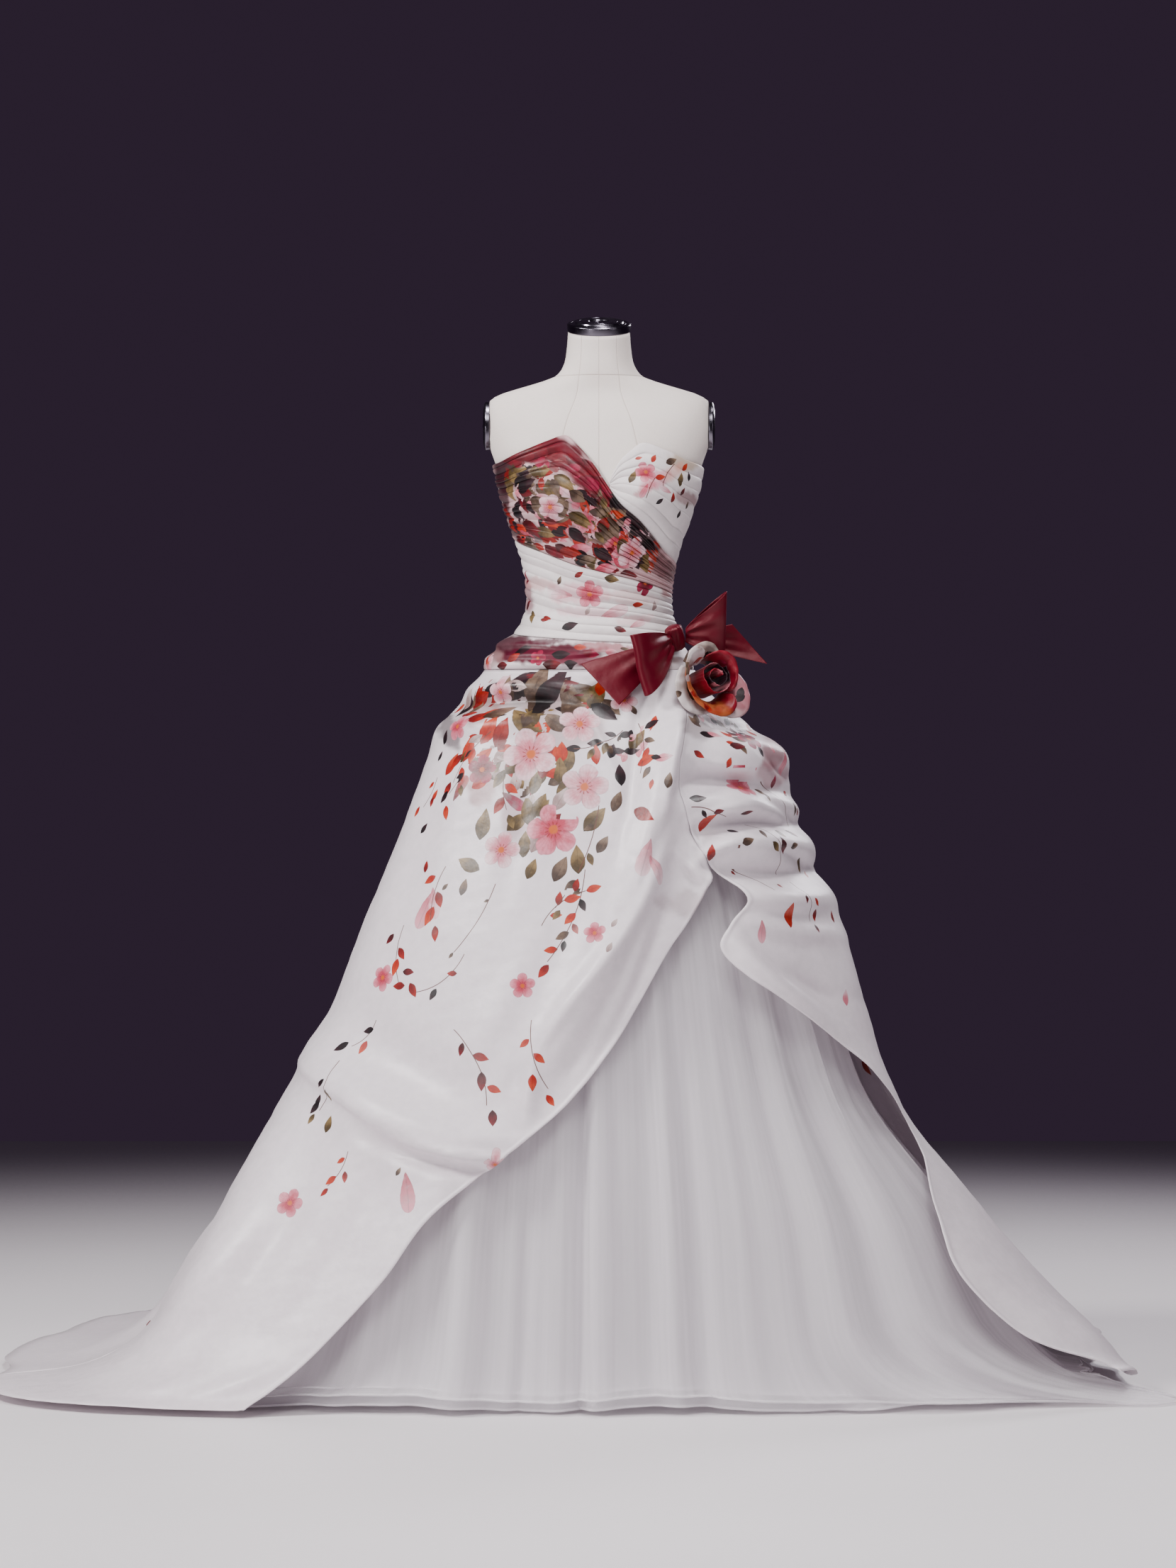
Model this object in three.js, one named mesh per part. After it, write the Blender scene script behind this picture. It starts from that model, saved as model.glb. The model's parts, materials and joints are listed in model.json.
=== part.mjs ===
// A strapless ball gown on a limbless dress form, in millimetres.
// +Z is up, the front faces -Y, and +X is on the right of someone who looks at the front.
// The origin is on the floor, at the middle of the underside of the stand's round foot.
// Every cloth piece is a wall: a surface worked out from the section tables, moved in by its thickness.
import * as THREE from "three";

// Driving sizes
const CLOTH = 2; // thickness of every gown wall
const RIBBON = 1.5; // thickness of the bow's satin
const SEAM = 0.3; // gap between pieces that are sewn together
const ON_FORM = 1.9; // gap between the form and the bodice
const PLATE_FACE = 166; // how far out the flat armhole faces of the form lie
const PLATE_HEIGHT = 1462; // height of the middle of the armholes
const NECK_TOP = 1606; // height of the middle of the neck's sloping top
const NECK_TILT = 13; // degrees that the neck plate leans to the front
const CAP_RADIUS = 48;
const CAP_HEIGHT = 14;
const POLE_RADIUS = 16;
const FOOT_RADIUS = 150;
const FOOT_HEIGHT = 12;
const FORM_BOTTOM = 905;
const NECK_SLOPE_FROM = 1545; // height at which the neck starts to lean
const SIDE_SEAM = { left: -88, right: 92 }; // angles of the skirt's side seams from the front

// Colours and finishes
const PRINTED_SILK = { color: 0xe9dcdc, roughness: 0.4, metalness: 0 };
const NET = { color: 0xe6e1e4, roughness: 0.8, metalness: 0 };
const SATIN = { color: 0x7a0d20, roughness: 0.35, metalness: 0 };
const LINEN = { color: 0xe6dcd2, roughness: 0.85, metalness: 0 };
const CHROME = { color: 0x77757c, roughness: 0.2, metalness: 1 };
const STEEL = { color: 0x55545a, roughness: 0.4, metalness: 1 };

// The form's sections: half width, depth to the front and to the back at each height.
const FORM_SECTIONS = [
  { z: 905, wide: 148, front: 92, back: 106 },
  { z: 985, wide: 153, front: 98, back: 116 },
  { z: 1060, wide: 138, front: 92, back: 104 },
  { z: 1110, wide: 123, front: 86, back: 90 },
  { z: 1160, wide: 110, front: 81, back: 80 },
  { z: 1210, wide: 106, front: 80, back: 78 },
  { z: 1260, wide: 114, front: 87, back: 84 },
  { z: 1310, wide: 131, front: 99, back: 92 },
  { z: 1355, wide: 146, front: 106, back: 97 },
  { z: 1400, wide: 156, front: 101, back: 99 },
  { z: 1435, wide: 168, front: 90, back: 98 },
  { z: 1470, wide: 175, front: 75, back: 92 },
  { z: 1494, wide: 173, front: 60, back: 82 },
  { z: 1510, wide: 150, front: 52, back: 72 },
  { z: 1524, wide: 104, front: 50, back: 64 },
  { z: 1536, wide: 69, front: 50, back: 57 },
  { z: 1554, wide: 54, front: 49, back: 51 },
  { z: 1578, wide: 49, front: 47, back: 48 },
  { z: 1606, wide: 47, front: 47, back: 47 },
];
const FORM_SQUARE = 2.3; // exponent of the form's rounded sections
const CUP = { x: 72, z: 1352, high: 20, wide: 42, sideways: 0.3, fade: 60 }; // the bust's two rounds
const BODICE_RINGS = { from: 1085, step: 24, count: 17 }; // close rings, where the bodice lies on the form

// How far the bodice's foot flares out over the hips: right is the least, and left is added at the left.
const HIP_FLARE = { from: 1185, to: 1110, right: 8, left: 16 };
// The draped band: how far it rolls out all round, and its roll and its tuck at the left front.
const HIP_ROLL = { round: 4, left: 9, tuck: 3, turn: 0.5 };

// The overskirt's sections, from its seam down to the floor: how far it reaches on each side.
// square is the exponent of the section: 2 is an ellipse, and more is squarer.
const SKIRT_SECTIONS = [
  { fall: 0.0, z: 1091, left: 172, right: 140, front: 118, back: 116, square: 2.2 },
  { fall: 0.05, z: 1053, left: 196, right: 168, front: 147, back: 158, square: 2.2 },
  { fall: 0.11, z: 1005, left: 238, right: 226, front: 177, back: 200, square: 2.2 },
  { fall: 0.17, z: 950, left: 260, right: 280, front: 206, back: 236, square: 2.2 },
  { fall: 0.25, z: 885, left: 280, right: 294, front: 230, back: 276, square: 2.2 },
  { fall: 0.33, z: 810, left: 306, right: 322, front: 252, back: 322, square: 2.2 },
  { fall: 0.43, z: 700, left: 356, right: 361, front: 282, back: 392, square: 2.2 },
  { fall: 0.54, z: 570, left: 409, right: 397, front: 310, back: 474, square: 2.2 },
  { fall: 0.65, z: 440, left: 474, right: 446, front: 335, back: 568, square: 2.3 },
  { fall: 0.75, z: 310, left: 539, right: 549, front: 356, back: 680, square: 2.4 },
  { fall: 0.84, z: 180, left: 629, right: 661, front: 374, back: 822, square: 2.6 },
  { fall: 0.91, z: 84, left: 692, right: 755, front: 388, back: 950, square: 2.9 },
  { fall: 0.96, z: 24, left: 800, right: 798, front: 396, back: 1062, square: 3.1 },
  { fall: 1.0, z: 6, left: 922, right: 812, front: 402, back: 1150, square: 3.2 },
];

// The opening at the front: where the overskirt's two edges run, across the front at each height.
const OPENING = [
  { z: 1095, left: 128, right: 128.7 },
  { z: 940, left: 112, right: 112.7 },
  { z: 850, left: 135, right: 136 },
  { z: 790, left: 166, right: 172 },
  { z: 765, left: 160, right: 203 },
  { z: 745, left: 150, right: 212 },
  { z: 712, left: 130, right: 190 },
  { z: 680, left: 108, right: 178 },
  { z: 640, left: 84, right: 212 },
  { z: 600, left: 61, right: 266 },
  { z: 530, left: 16, right: 356 },
  { z: 450, left: -50, right: 424 },
  { z: 370, left: -147, right: 481 },
  { z: 290, left: -245, right: 500 },
  { z: 200, left: -312, right: 530 },
  { z: 110, left: -395, right: 620 },
  { z: 40, left: -470, right: 735 },
  { z: 4, left: -520, right: 775 },
];

// The overskirt's folds, as seen from the front: a bent line through its start, its bend and its end.
// high is how far the fold stands out, or in if it is negative, and wide is its half width.
const FRONT_FOLDS = [
  { x1: 118, z1: 1086, x2: 92, z2: 930, x3: 58, z3: 790, high: 20, wide: 34 },
  { x1: 62, z1: 810, x2: 10, z2: 650, x3: -118, z3: 480, high: 20, wide: 40 },
  { x1: 135, z1: 830, x2: 78, z2: 640, x3: -60, z3: 470, high: -15, wide: 34 },
  { x1: -440, z1: 530, x2: -300, z2: 395, x3: -120, z3: 398, high: 17, wide: 30 },
  { x1: -400, z1: 600, x2: -290, z2: 460, x3: -120, z3: 470, high: -9, wide: 45 },
  { x1: -470, z1: 410, x2: -515, z2: 230, x3: -640, z3: 92, high: 22, wide: 38 },
  { x1: -215, z1: 1050, x2: -120, z2: 1084, x3: -20, z3: 1062, high: 13, wide: 15 },
  { x1: -232, z1: 1022, x2: -130, z2: 1052, x3: -20, z3: 1034, high: -10, wide: 10 },
  { x1: -262, z1: 990, x2: -170, z2: 1024, x3: -50, z3: 1014, high: 10, wide: 20 },
  { x1: 118, z1: 1000, x2: 190, z2: 962, x3: 292, z3: 962, high: 21, wide: 29 },
  { x1: 112, z1: 908, x2: 165, z2: 948, x3: 300, z3: 894, high: -15, wide: 15 },
  { x1: 118, z1: 882, x2: 185, z2: 918, x3: 310, z3: 868, high: 17, wide: 23 },
  { x1: 150, z1: 848, x2: 215, z2: 872, x3: 325, z3: 846, high: -13, wide: 14 },
  { x1: 150, z1: 822, x2: 222, z2: 846, x3: 335, z3: 818, high: 15, wide: 21 },
  { x1: 172, z1: 796, x2: 235, z2: 780, x3: 345, z3: 784, high: -12, wide: 13 },
  { x1: 190, z1: 762, x2: 250, z2: 748, x3: 362, z3: 744, high: 15, wide: 22 },
  { x1: 186, z1: 706, x2: 222, z2: 640, x3: 350, z3: 552, high: 13, wide: 20 },
  { x1: 330, z1: 690, x2: 390, z2: 520, x3: 440, z3: 420, high: 12, wide: 30 },
];

const CORNER = { angle: 75, wide: 10, high: 34, from: 0.86 }; // the overskirt's right corner curls up
const HEM = { from: 0.9, clear: 7, wave: 0.12 }; // the hem lifts off the floor, and its flutes lift with it

// The long flutes of the overskirt's back and of the net, as waves round the hem.
const BACK_FLUTES = [
  { count: 9, high: 18, turn: 0.4 },
  { count: 14, high: 11, turn: 1.9 },
  { count: 5, high: 12, turn: 2.6 },
];
const NET_FLUTES = [
  { count: 24, high: 7, turn: 0.7 },
  { count: 37, high: 4, turn: 2.1 },
  { count: 11, high: 5, turn: 1.2 },
];
// The net's point on the floor at the right: its angle, its width to each side, and how far out it lies.
const NET_TRAIN = { angle: 62, before: 15, after: 10, reach: 254, back: 66, high: 4 };

// How far each layer lies inside the overskirt at its seam and further down, and how high its hem hangs.
const UNDER_REACH = 0.95; // share of the overskirt's fall at which the under layers end
const NET_LAYER = { top: 2.9, inset: 38, hem: 26, wave: 5, reach: 760 };
const LINING_LAYER = { top: 5.8, inset: 66, hem: 9, wave: 4, reach: 690 };

// Edges of the bodice pieces, by the angle from the front.
const WRAP_TOP = [
  { at: -90, z: 1402 },
  { at: -72, z: 1406 },
  { at: -57, z: 1421 },
  { at: -43, z: 1436 },
  { at: -31, z: 1444 },
  { at: -20, z: 1430 },
  { at: -8, z: 1408 },
  { at: 4, z: 1377 },
  { at: 16, z: 1343 },
  { at: 31, z: 1317 },
  { at: 44, z: 1293 },
  { at: 60, z: 1268 },
  { at: 90, z: 1246 },
];
const CUP_TOP = [
  { at: 7, z: 1367 },
  { at: 16, z: 1401 },
  { at: 27, z: 1421 },
  { at: 38, z: 1433 },
  { at: 51, z: 1422 },
  { at: 64, z: 1407 },
  { at: 90, z: 1396 },
];
const WRAP_FOOT = [
  { at: -90, z: 1290 },
  { at: -60, z: 1274 },
  { at: -26, z: 1250 },
  { at: 0, z: 1239 },
  { at: 36, z: 1226 },
  { at: 75, z: 1209 },
  { at: 90, z: 1206 },
];
const WAIST_FOOT = [
  { at: -90, z: 1146 },
  { at: 0, z: 1133 },
  { at: 90, z: 1128 },
  { at: 180, z: 1130 },
  { at: 270, z: 1146 },
];
const BACK_TOP = [
  { at: 90, z: 1396 },
  { at: 180, z: 1372 },
  { at: 270, z: 1402 },
];

// The drawn pleats of each bodice piece: how far down it a ridge or a valley runs, and how high it stands.
const WRAP_PLEATS = [
  { down: 0, high: 1.6 },
  { down: 0.07, high: 3.6 },
  { down: 0.14, high: 0.4 },
  { down: 0.24, high: 3.4 },
  { down: 0.32, high: 0.3 },
  { down: 0.42, high: 3.2 },
  { down: 0.5, high: 0.3 },
  { down: 0.61, high: 3.4 },
  { down: 0.7, high: 0.3 },
  { down: 0.8, high: 3.2 },
  { down: 0.88, high: 0.2 },
  { down: 0.95, high: 3 },
  { down: 1, high: 1 },
];
const CUP_PLEATS = [
  { down: 0, high: 1.2 },
  { down: 0.22, high: 2.6 },
  { down: 0.4, high: 0.3 },
  { down: 0.56, high: 2.8 },
  { down: 0.72, high: 0.3 },
  { down: 0.86, high: 2.4 },
  { down: 1, high: 0.3 },
];
const WAIST_PLEATS = [
  { down: 0, high: 0.8 },
  { down: 0.1, high: 3.2 },
  { down: 0.2, high: 0.3 },
  { down: 0.33, high: 2.8 },
  { down: 0.43, high: 0.2 },
  { down: 0.55, high: 3.2 },
  { down: 0.64, high: 0.2 },
  { down: 0.78, high: 2.4 },
  { down: 0.9, high: 0.3 },
  { down: 1, high: 1.6 },
];
const BACK_PLEATS = Array.from({ length: 10 }, (_, i) => ({ down: i / 9, high: i ? 0.2 : 0.7 }));

// The bow: where its knot sits on the hip, and the middle of each loop's and tail's far edge.
// turn tips that edge to the right, lean tips its top to the front, and wide is half its length.
const BOW_KNOT = { angle: 56, z: 1139, wide: 15, high: 19, deep: 13, tip: -22, out: 6.1 };
const BOW_LOOPS = [
  { side: "left", x: 60, y: -183, z: 1097, turn: -13, lean: 4, wide: 47, puff: 15, clear: 1.1 },
  { side: "right", x: 192, y: -92, z: 1163, turn: 1, lean: 18, wide: 47, puff: 17, clear: 0.2 },
];
const BOW_TAILS = [
  { side: "left", x: 1, y: -167, z: 1068, turn: -42, lean: -14, wide: 43, start: 2, bulge: 3, wave: 4 },
  { side: "right", x: 228, y: -62, z: 1130, turn: -42, lean: 0, wide: 40, start: 9.6, bulge: 0, wave: -4 },
];
const BOW_WAIST = 9; // half the width of a loop where the knot gathers it

// The rosette: where it sits on the overskirt, the way it faces, its rolled heart and its outer petals.
// start and flare are how far a petal's foot and rim lie from the middle, and high is how far it stands out.
const ROSETTE = { angle: 60, fall: 0.03, east: 33, up: 14, gap: 8.4 };
const ROSETTE_HEART = { inner: 5, outer: 24.4, turns: 2.1, foot: 6, high: 60 };
const ROSETTE_PETALS = [
  { middle: 160, half: 64, start: 26.6, flare: 30, foot: 10.8, high: 62 },
  { middle: 268, half: 64, start: 26.6, flare: 27, foot: 16, high: 60 },
  { middle: 28, half: 65, start: 26.1, flare: 17, foot: 13, high: 56 },
  { middle: 208, half: 56, start: 32.2, flare: 38, foot: 22, high: 50 },
  { middle: 322, half: 52, start: 31, flare: 40, foot: 18, high: 44 },
  { middle: 92, half: 50, start: 29.8, flare: 24, foot: 8, high: 40 },
];

const radians = THREE.MathUtils.degToRad;
const smooth = (x, low, high) => THREE.MathUtils.smoothstep(x, low, high);
const power = (x, exponent) => Math.sign(x) * Math.abs(x) ** exponent;

// A value between a table's rows, on a smooth curve through them.
function between(rows, key, name, at) {
  const rising = rows[rows.length - 1][key] > rows[0][key];
  const table = rising ? rows : [...rows].reverse();
  const last = table.length - 1;
  if (at <= table[0][key]) return table[0][name];
  if (at >= table[last][key]) return table[last][name];
  const i = table.findIndex((row) => row[key] > at) - 1;
  const slope = (k) => {
    const low = table[Math.max(k - 1, 0)];
    const high = table[Math.min(k + 1, last)];
    return (high[name] - low[name]) / (high[key] - low[key]);
  };
  const step = table[i + 1][key] - table[i][key];
  const t = (at - table[i][key]) / step;
  return (
    (2 * t ** 3 - 3 * t ** 2 + 1) * table[i][name] +
    (t ** 3 - 2 * t ** 2 + t) * step * slope(i) +
    (3 * t ** 2 - 2 * t ** 3) * table[i + 1][name] +
    (t ** 3 - t ** 2) * step * slope(i + 1)
  );
}

// How high a ridge stands at a point of a flat chart: a bell across a bent line that fades out at its ends.
function ridge(across, up, start, bend, end, high, wide) {
  const steps = 14;
  let nearest = Infinity;
  let along = 0;
  for (let i = 0; i <= steps; i++) {
    const t = i / steps;
    const a = (1 - t) ** 2 * start[0] + 2 * t * (1 - t) * bend[0] + t * t * end[0];
    const b = (1 - t) ** 2 * start[1] + 2 * t * (1 - t) * bend[1] + t * t * end[1];
    const gap = (across - a) ** 2 + (up - b) ** 2;
    if (gap < nearest) {
      nearest = gap;
      along = t;
    }
  }
  return high * Math.exp(-nearest / (wide * wide)) * (0.25 + 0.75 * Math.sin(Math.PI * along));
}

// Where a ray at an angle from the front meets a section, and the section's outward direction there.
function onSection(angle, { left, right, front, back, square }) {
  const sine = Math.sin(angle);
  const cosine = Math.cos(angle);
  const reach = sine > 0 ? right : left;
  const depth = cosine > 0 ? front : back;
  const inverse = Math.abs(sine / reach) ** square + Math.abs(cosine / depth) ** square;
  const radius = inverse ** (-1 / square);
  const x = radius * sine;
  const y = -radius * cosine;
  const nx = power(x / reach, square - 1) / reach;
  const ny = power(y / depth, square - 1) / depth;
  const length = Math.hypot(nx, ny);
  return { x, y, nx: nx / length, ny: ny / length };
}

// Every size of a table's rows at one place between them.
function sectionAt(rows, key, at) {
  const names = Object.keys(rows[0]).filter((name) => name !== key);
  return Object.fromEntries(names.map((name) => [name, between(rows, key, name, at)]));
}

// The form's skin: flat at the armholes, sloping at the top of the neck, with two rounds for the bust.
function formPoint(angle, z) {
  const { wide, front, back } = sectionAt(FORM_SECTIONS, "z", z);
  const p = onSection(angle, { left: wide, right: wide, front, back, square: FORM_SQUARE });
  const away = ((Math.abs(p.x) - CUP.x) / CUP.wide) ** 2 + ((z - CUP.z) / CUP.wide) ** 2;
  const bust = CUP.high * Math.exp(-away) * smooth(-p.y, 0, CUP.fade);
  const x = THREE.MathUtils.clamp(p.x + p.nx * bust * CUP.sideways, -PLATE_FACE, PLATE_FACE);
  const tilt = smooth(z, NECK_SLOPE_FROM, NECK_TOP) * Math.tan(radians(NECK_TILT));
  const y = p.y + p.ny * bust;
  return new THREE.Vector3(x, y, z + y * tilt);
}

// The bodice follows the form, and flares out over the hips, more at the left.
function bodicePoint(angle, z) {
  const flare = smooth(-z, -HIP_FLARE.from, -HIP_FLARE.to);
  const leftward = 0.5 - 0.5 * Math.sin(angle);
  const out = flare * (HIP_FLARE.right + HIP_FLARE.left * leftward);
  return formPoint(angle, z).add(outwardAt(angle).multiplyScalar(out));
}

function outwardAt(angle) {
  return new THREE.Vector3(Math.sin(angle), -Math.cos(angle), 0);
}

// Waves round a skirt: the sum of a few rows of flutes, so that no two are alike.
function flutes(rows, angle) {
  return rows.reduce((sum, f) => sum + f.high * Math.sin(f.count * angle + f.turn), 0);
}

// How far an under layer lies inside the overskirt, at a share of the way down.
function insetAt({ top, inset }, fall) {
  return THREE.MathUtils.lerp(top, inset, smooth(fall, 0, 0.14));
}

// The overskirt without its drawn folds: its sections, with the long flutes of the back.
function skirtBase(angle, fall) {
  const size = sectionAt(SKIRT_SECTIONS, "fall", fall);
  const p = onSection(angle, size);
  const front = smooth(Math.cos(angle), -0.12, 0.2);
  const hang = flutes(BACK_FLUTES, angle) * smooth(fall, 0.02, 0.9) * (1 - 0.85 * front);
  return { ...p, z: size.z, front, hang };
}

// The overskirt's inside at an angle from the front and a share of the way down.
function skirtPoint(angle, fall) {
  const p = skirtBase(angle, fall);
  const drape = FRONT_FOLDS.reduce(
    (sum, f) => sum + ridge(p.x, p.z, [f.x1, f.z1], [f.x2, f.z2], [f.x3, f.z3], f.high, f.wide),
    0,
  );
  const out = p.hang + Math.max(drape * p.front, -0.3 * insetAt(NET_LAYER, fall));
  const off = (THREE.MathUtils.radToDeg(angle) - CORNER.angle) / CORNER.wide;
  const curl = CORNER.high * Math.exp(-off * off) * smooth(fall, CORNER.from, 1);
  const lift = smooth(fall, HEM.from, 1) * (HEM.clear + HEM.wave * flutes(BACK_FLUTES, angle + 0.2)) + curl;
  return new THREE.Vector3(p.x + p.nx * out, p.y + p.ny * out, p.z + lift);
}

// A layer under the overskirt: the same form taken in, with its own flutes and a hem that waves.
function underPoint(layer, angle, fall) {
  const p = skirtBase(angle, UNDER_REACH * fall);
  const shown = smooth(Math.cos(angle), -0.4, 0.3);
  const own = flutes(NET_FLUTES, angle) * smooth(fall, 0.03, 0.7) * shown;
  const out = p.hang * 0.9 + own - insetAt(layer, fall);
  const flat = Math.hypot(p.x + p.nx * out, p.y + p.ny * out);
  const share = Math.min(1, layer.reach / flat);
  const hem = layer.hem + layer.wave * Math.sin(7 * angle);
  const z = Math.max(THREE.MathUtils.lerp(p.z - 1, hem, smooth(fall, 0.8, 1)), hem);
  return new THREE.Vector3((p.x + p.nx * out) * share, (p.y + p.ny * out) * share, z);
}

// The net reaches out to a point on the floor at the right.
function netPoint(angle, fall) {
  const p = underPoint(NET_LAYER, angle, fall);
  const off = THREE.MathUtils.radToDeg(angle) - NET_TRAIN.angle;
  const width = off > 0 ? NET_TRAIN.after : NET_TRAIN.before;
  const share = Math.exp(-((off / width) ** 2)) * smooth(fall, 0.88, 1);
  p.x += NET_TRAIN.reach * share;
  p.y += NET_TRAIN.back * share;
  p.z = THREE.MathUtils.lerp(p.z, NET_TRAIN.high, share);
  return p;
}

function liningPoint(angle, fall) {
  return underPoint(LINING_LAYER, angle, fall);
}

// A closed mesh from its points and faces, turned so that its faces point out.
function closedBody(points, faces) {
  const across = new THREE.Vector3();
  let volume = 0;
  for (const [a, b, c] of faces) volume += points[a].dot(across.crossVectors(points[b], points[c]));
  const index = faces.flatMap(([a, b, c]) => (volume < 0 ? [a, c, b] : [a, b, c]));
  const geometry = new THREE.BufferGeometry().setFromPoints(points);
  geometry.setIndex(index);
  geometry.computeVertexNormals();
  return geometry;
}

// A closed body from rings of equal length, with a flat cap at each end.
function loft(rings) {
  const count = rings[0].length;
  const points = rings.flat();
  const faces = [];
  for (let j = 0; j + 1 < rings.length; j++)
    for (let i = 0; i < count; i++) {
      const [a, b] = [j * count + i, j * count + ((i + 1) % count)];
      faces.push([a, b, b + count], [a, b + count, a + count]);
    }
  for (const end of [0, rings.length - 1]) {
    const middle = rings[end].reduce((sum, p) => sum.add(p), new THREE.Vector3()).divideScalar(count);
    points.push(middle);
    for (let i = 0; i < count; i++) {
      const [a, b] = [end * count + i, end * count + ((i + 1) % count)];
      faces.push(end ? [a, b, points.length - 1] : [b, a, points.length - 1]);
    }
  }
  return closedBody(points, faces);
}

// A wall between two grids of points, with rims. round joins its last column to its first.
// Both faces of the wall are cut along the same diagonals, so that they stay apart where it twists.
function wall(outer, inner, round) {
  const columns = outer.length;
  const rows = outer[0].length;
  const points = [...outer.flat(), ...inner.flat()];
  const inside = columns * rows;
  const at = (i, j) => (i % columns) * rows + j;
  const faces = [];
  const quad = (a, b, c, d) => faces.push([a, b, c], [a, c, d]);
  const last = round ? columns : columns - 1;
  for (let i = 0; i < last; i++) {
    for (let j = 0; j + 1 < rows; j++) {
      quad(at(i + 1, j), at(i + 1, j + 1), at(i, j + 1), at(i, j));
      quad(inside + at(i, j + 1), inside + at(i + 1, j + 1), inside + at(i + 1, j), inside + at(i, j));
    }
    quad(at(i + 1, 0), at(i, 0), inside + at(i, 0), inside + at(i + 1, 0));
    const low = rows - 1;
    quad(at(i, low), at(i + 1, low), inside + at(i + 1, low), inside + at(i, low));
  }
  if (!round)
    for (let j = 0; j + 1 < rows; j++) {
      quad(at(0, j), at(0, j + 1), inside + at(0, j + 1), inside + at(0, j));
      quad(at(last, j + 1), at(last, j), inside + at(last, j), inside + at(last, j + 1));
    }
  return closedBody(points, faces);
}

// The way out of a surface at a point, between its inward and its level direction as level says.
function outwardOf(surface, u, v, level) {
  const [side, drop] = [0.001, 0.01];
  const across = surface(u + side, v).sub(surface(u - side, v));
  const down = surface(u, Math.min(v + drop, 1)).sub(surface(u, Math.max(v - drop, 0)));
  const normal = down.cross(across).normalize();
  normal.z *= 1 - level;
  return normal.normalize();
}

// A cloth wall on a surface that takes two shares from 0 to 1, across and down. Its rows are shares too.
// clear is its gap to the surface, lift is what a pleat adds outside, and level keeps its rims level.
function clothWall(surface, columns, rows, options = {}) {
  const { round = false, thick = CLOTH, clear = 0, lift = () => 0, level = () => 0 } = options;
  const [outer, inner] = [[], []];
  for (let i = 0; i <= columns - (round ? 1 : 0); i++) {
    const u = i / columns;
    const out = rows.map((v) => outwardOf(surface, u, v, level(v)));
    const moved = (by) => rows.map((v, j) => surface(u, v).addScaledVector(out[j], by(v)));
    outer.push(moved((v) => clear + thick + lift(u, v)));
    inner.push(moved(() => clear));
  }
  return wall(outer, inner, round);
}

const evenly = (count) => Array.from({ length: count + 1 }, (_, i) => i / count);
const always = () => 1;

const gown = new THREE.Group();

function add(name, geometry, look, place) {
  const mesh = new THREE.Mesh(geometry, new THREE.MeshStandardMaterial(look));
  mesh.name = name;
  if (place) place(mesh);
  gown.add(mesh);
}

// A turned body from its profile of [radius, height] rows, standing on Z.
function turned(profile, segments) {
  const points = profile.map(([r, h]) => new THREE.Vector2(r, h));
  return new THREE.LatheGeometry(points, segments).rotateX(Math.PI / 2);
}

function disc(radius) {
  const shape = new THREE.Shape();
  shape.absarc(0, 0, radius, 0, 2 * Math.PI);
  return shape;
}

// The form has its closest rings where the bodice lies on it.
function buildForm() {
  const columns = 28;
  const under = FORM_SECTIONS.map((row) => row.z).filter((z) => z < 1080 || z > 1470);
  const { from, step, count } = BODICE_RINGS;
  const close = Array.from({ length: count }, (_, i) => from + step * i);
  const heights = [...under, ...close].sort((a, b) => a - b);
  const rings = heights.map((z) =>
    Array.from({ length: columns }, (_, i) => formPoint((2 * Math.PI * i) / columns, z)),
  );
  add("form_torso", loft(rings), LINEN);

  const capProfile = [
    [0, 0],
    [CAP_RADIUS, 0],
    [CAP_RADIUS + 0.8, CAP_HEIGHT - 3],
    [CAP_RADIUS - 1.5, CAP_HEIGHT - 1],
    [38, CAP_HEIGHT - 1],
    [37, CAP_HEIGHT + 2],
    [16, CAP_HEIGHT + 2],
    [15, CAP_HEIGHT],
    [0, CAP_HEIGHT],
  ];
  add("form_neck_cap", turned(capProfile, 22), CHROME, (mesh) => {
    mesh.position.set(0, 0, NECK_TOP);
    mesh.rotation.x = radians(NECK_TILT);
    mesh.translateZ(SEAM);
  });

  const plateProfile = [
    [0, 0],
    [36, 0],
    [37, 6],
    [27, 10],
    [25, 8],
    [12, 8],
    [0, 11],
  ];
  for (const [name, side] of [
    ["form_arm_plate_left", -1],
    ["form_arm_plate_right", 1],
  ])
    add(name, turned(plateProfile, 16), CHROME, (mesh) => {
      mesh.position.set(side * (PLATE_FACE + SEAM), -2, PLATE_HEIGHT);
      mesh.rotation.y = (side * Math.PI) / 2;
      mesh.scale.set(1, 0.76, 1);
    });
}

function buildStand() {
  const foot = { depth: FOOT_HEIGHT, bevelEnabled: false, curveSegments: 18 };
  add("stand_foot", new THREE.ExtrudeGeometry(disc(FOOT_RADIUS), foot), STEEL);
  const length = FORM_BOTTOM - FOOT_HEIGHT - 2 * SEAM;
  const pole = { depth: length, bevelEnabled: false, curveSegments: 8 };
  add("stand_pole", new THREE.ExtrudeGeometry(disc(POLE_RADIUS), pole), STEEL, (mesh) => {
    mesh.position.z = FOOT_HEIGHT + SEAM;
  });
}

// A bodice panel between two angles, from its top edge down to its foot, with a row for each pleat's line.
function bodicePanel(name, { from, to, columns, pleats, top, foot }) {
  const surface = (u, v) => {
    const at = THREE.MathUtils.lerp(from, to, u);
    const edges = [between(top, "at", "z", at), between(foot, "at", "z", at) + 1.5 * SEAM];
    return bodicePoint(radians(at), THREE.MathUtils.lerp(...edges, v));
  };
  const lift = (u, v) => between(pleats, "down", "high", v) * (1 - 0.5 * (2 * u - 1) ** 6);
  const rows = pleats.map((row) => row.down);
  add(name, clothWall(surface, columns, rows, { clear: ON_FORM, lift, level: always }), PRINTED_SILK);
}

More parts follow.
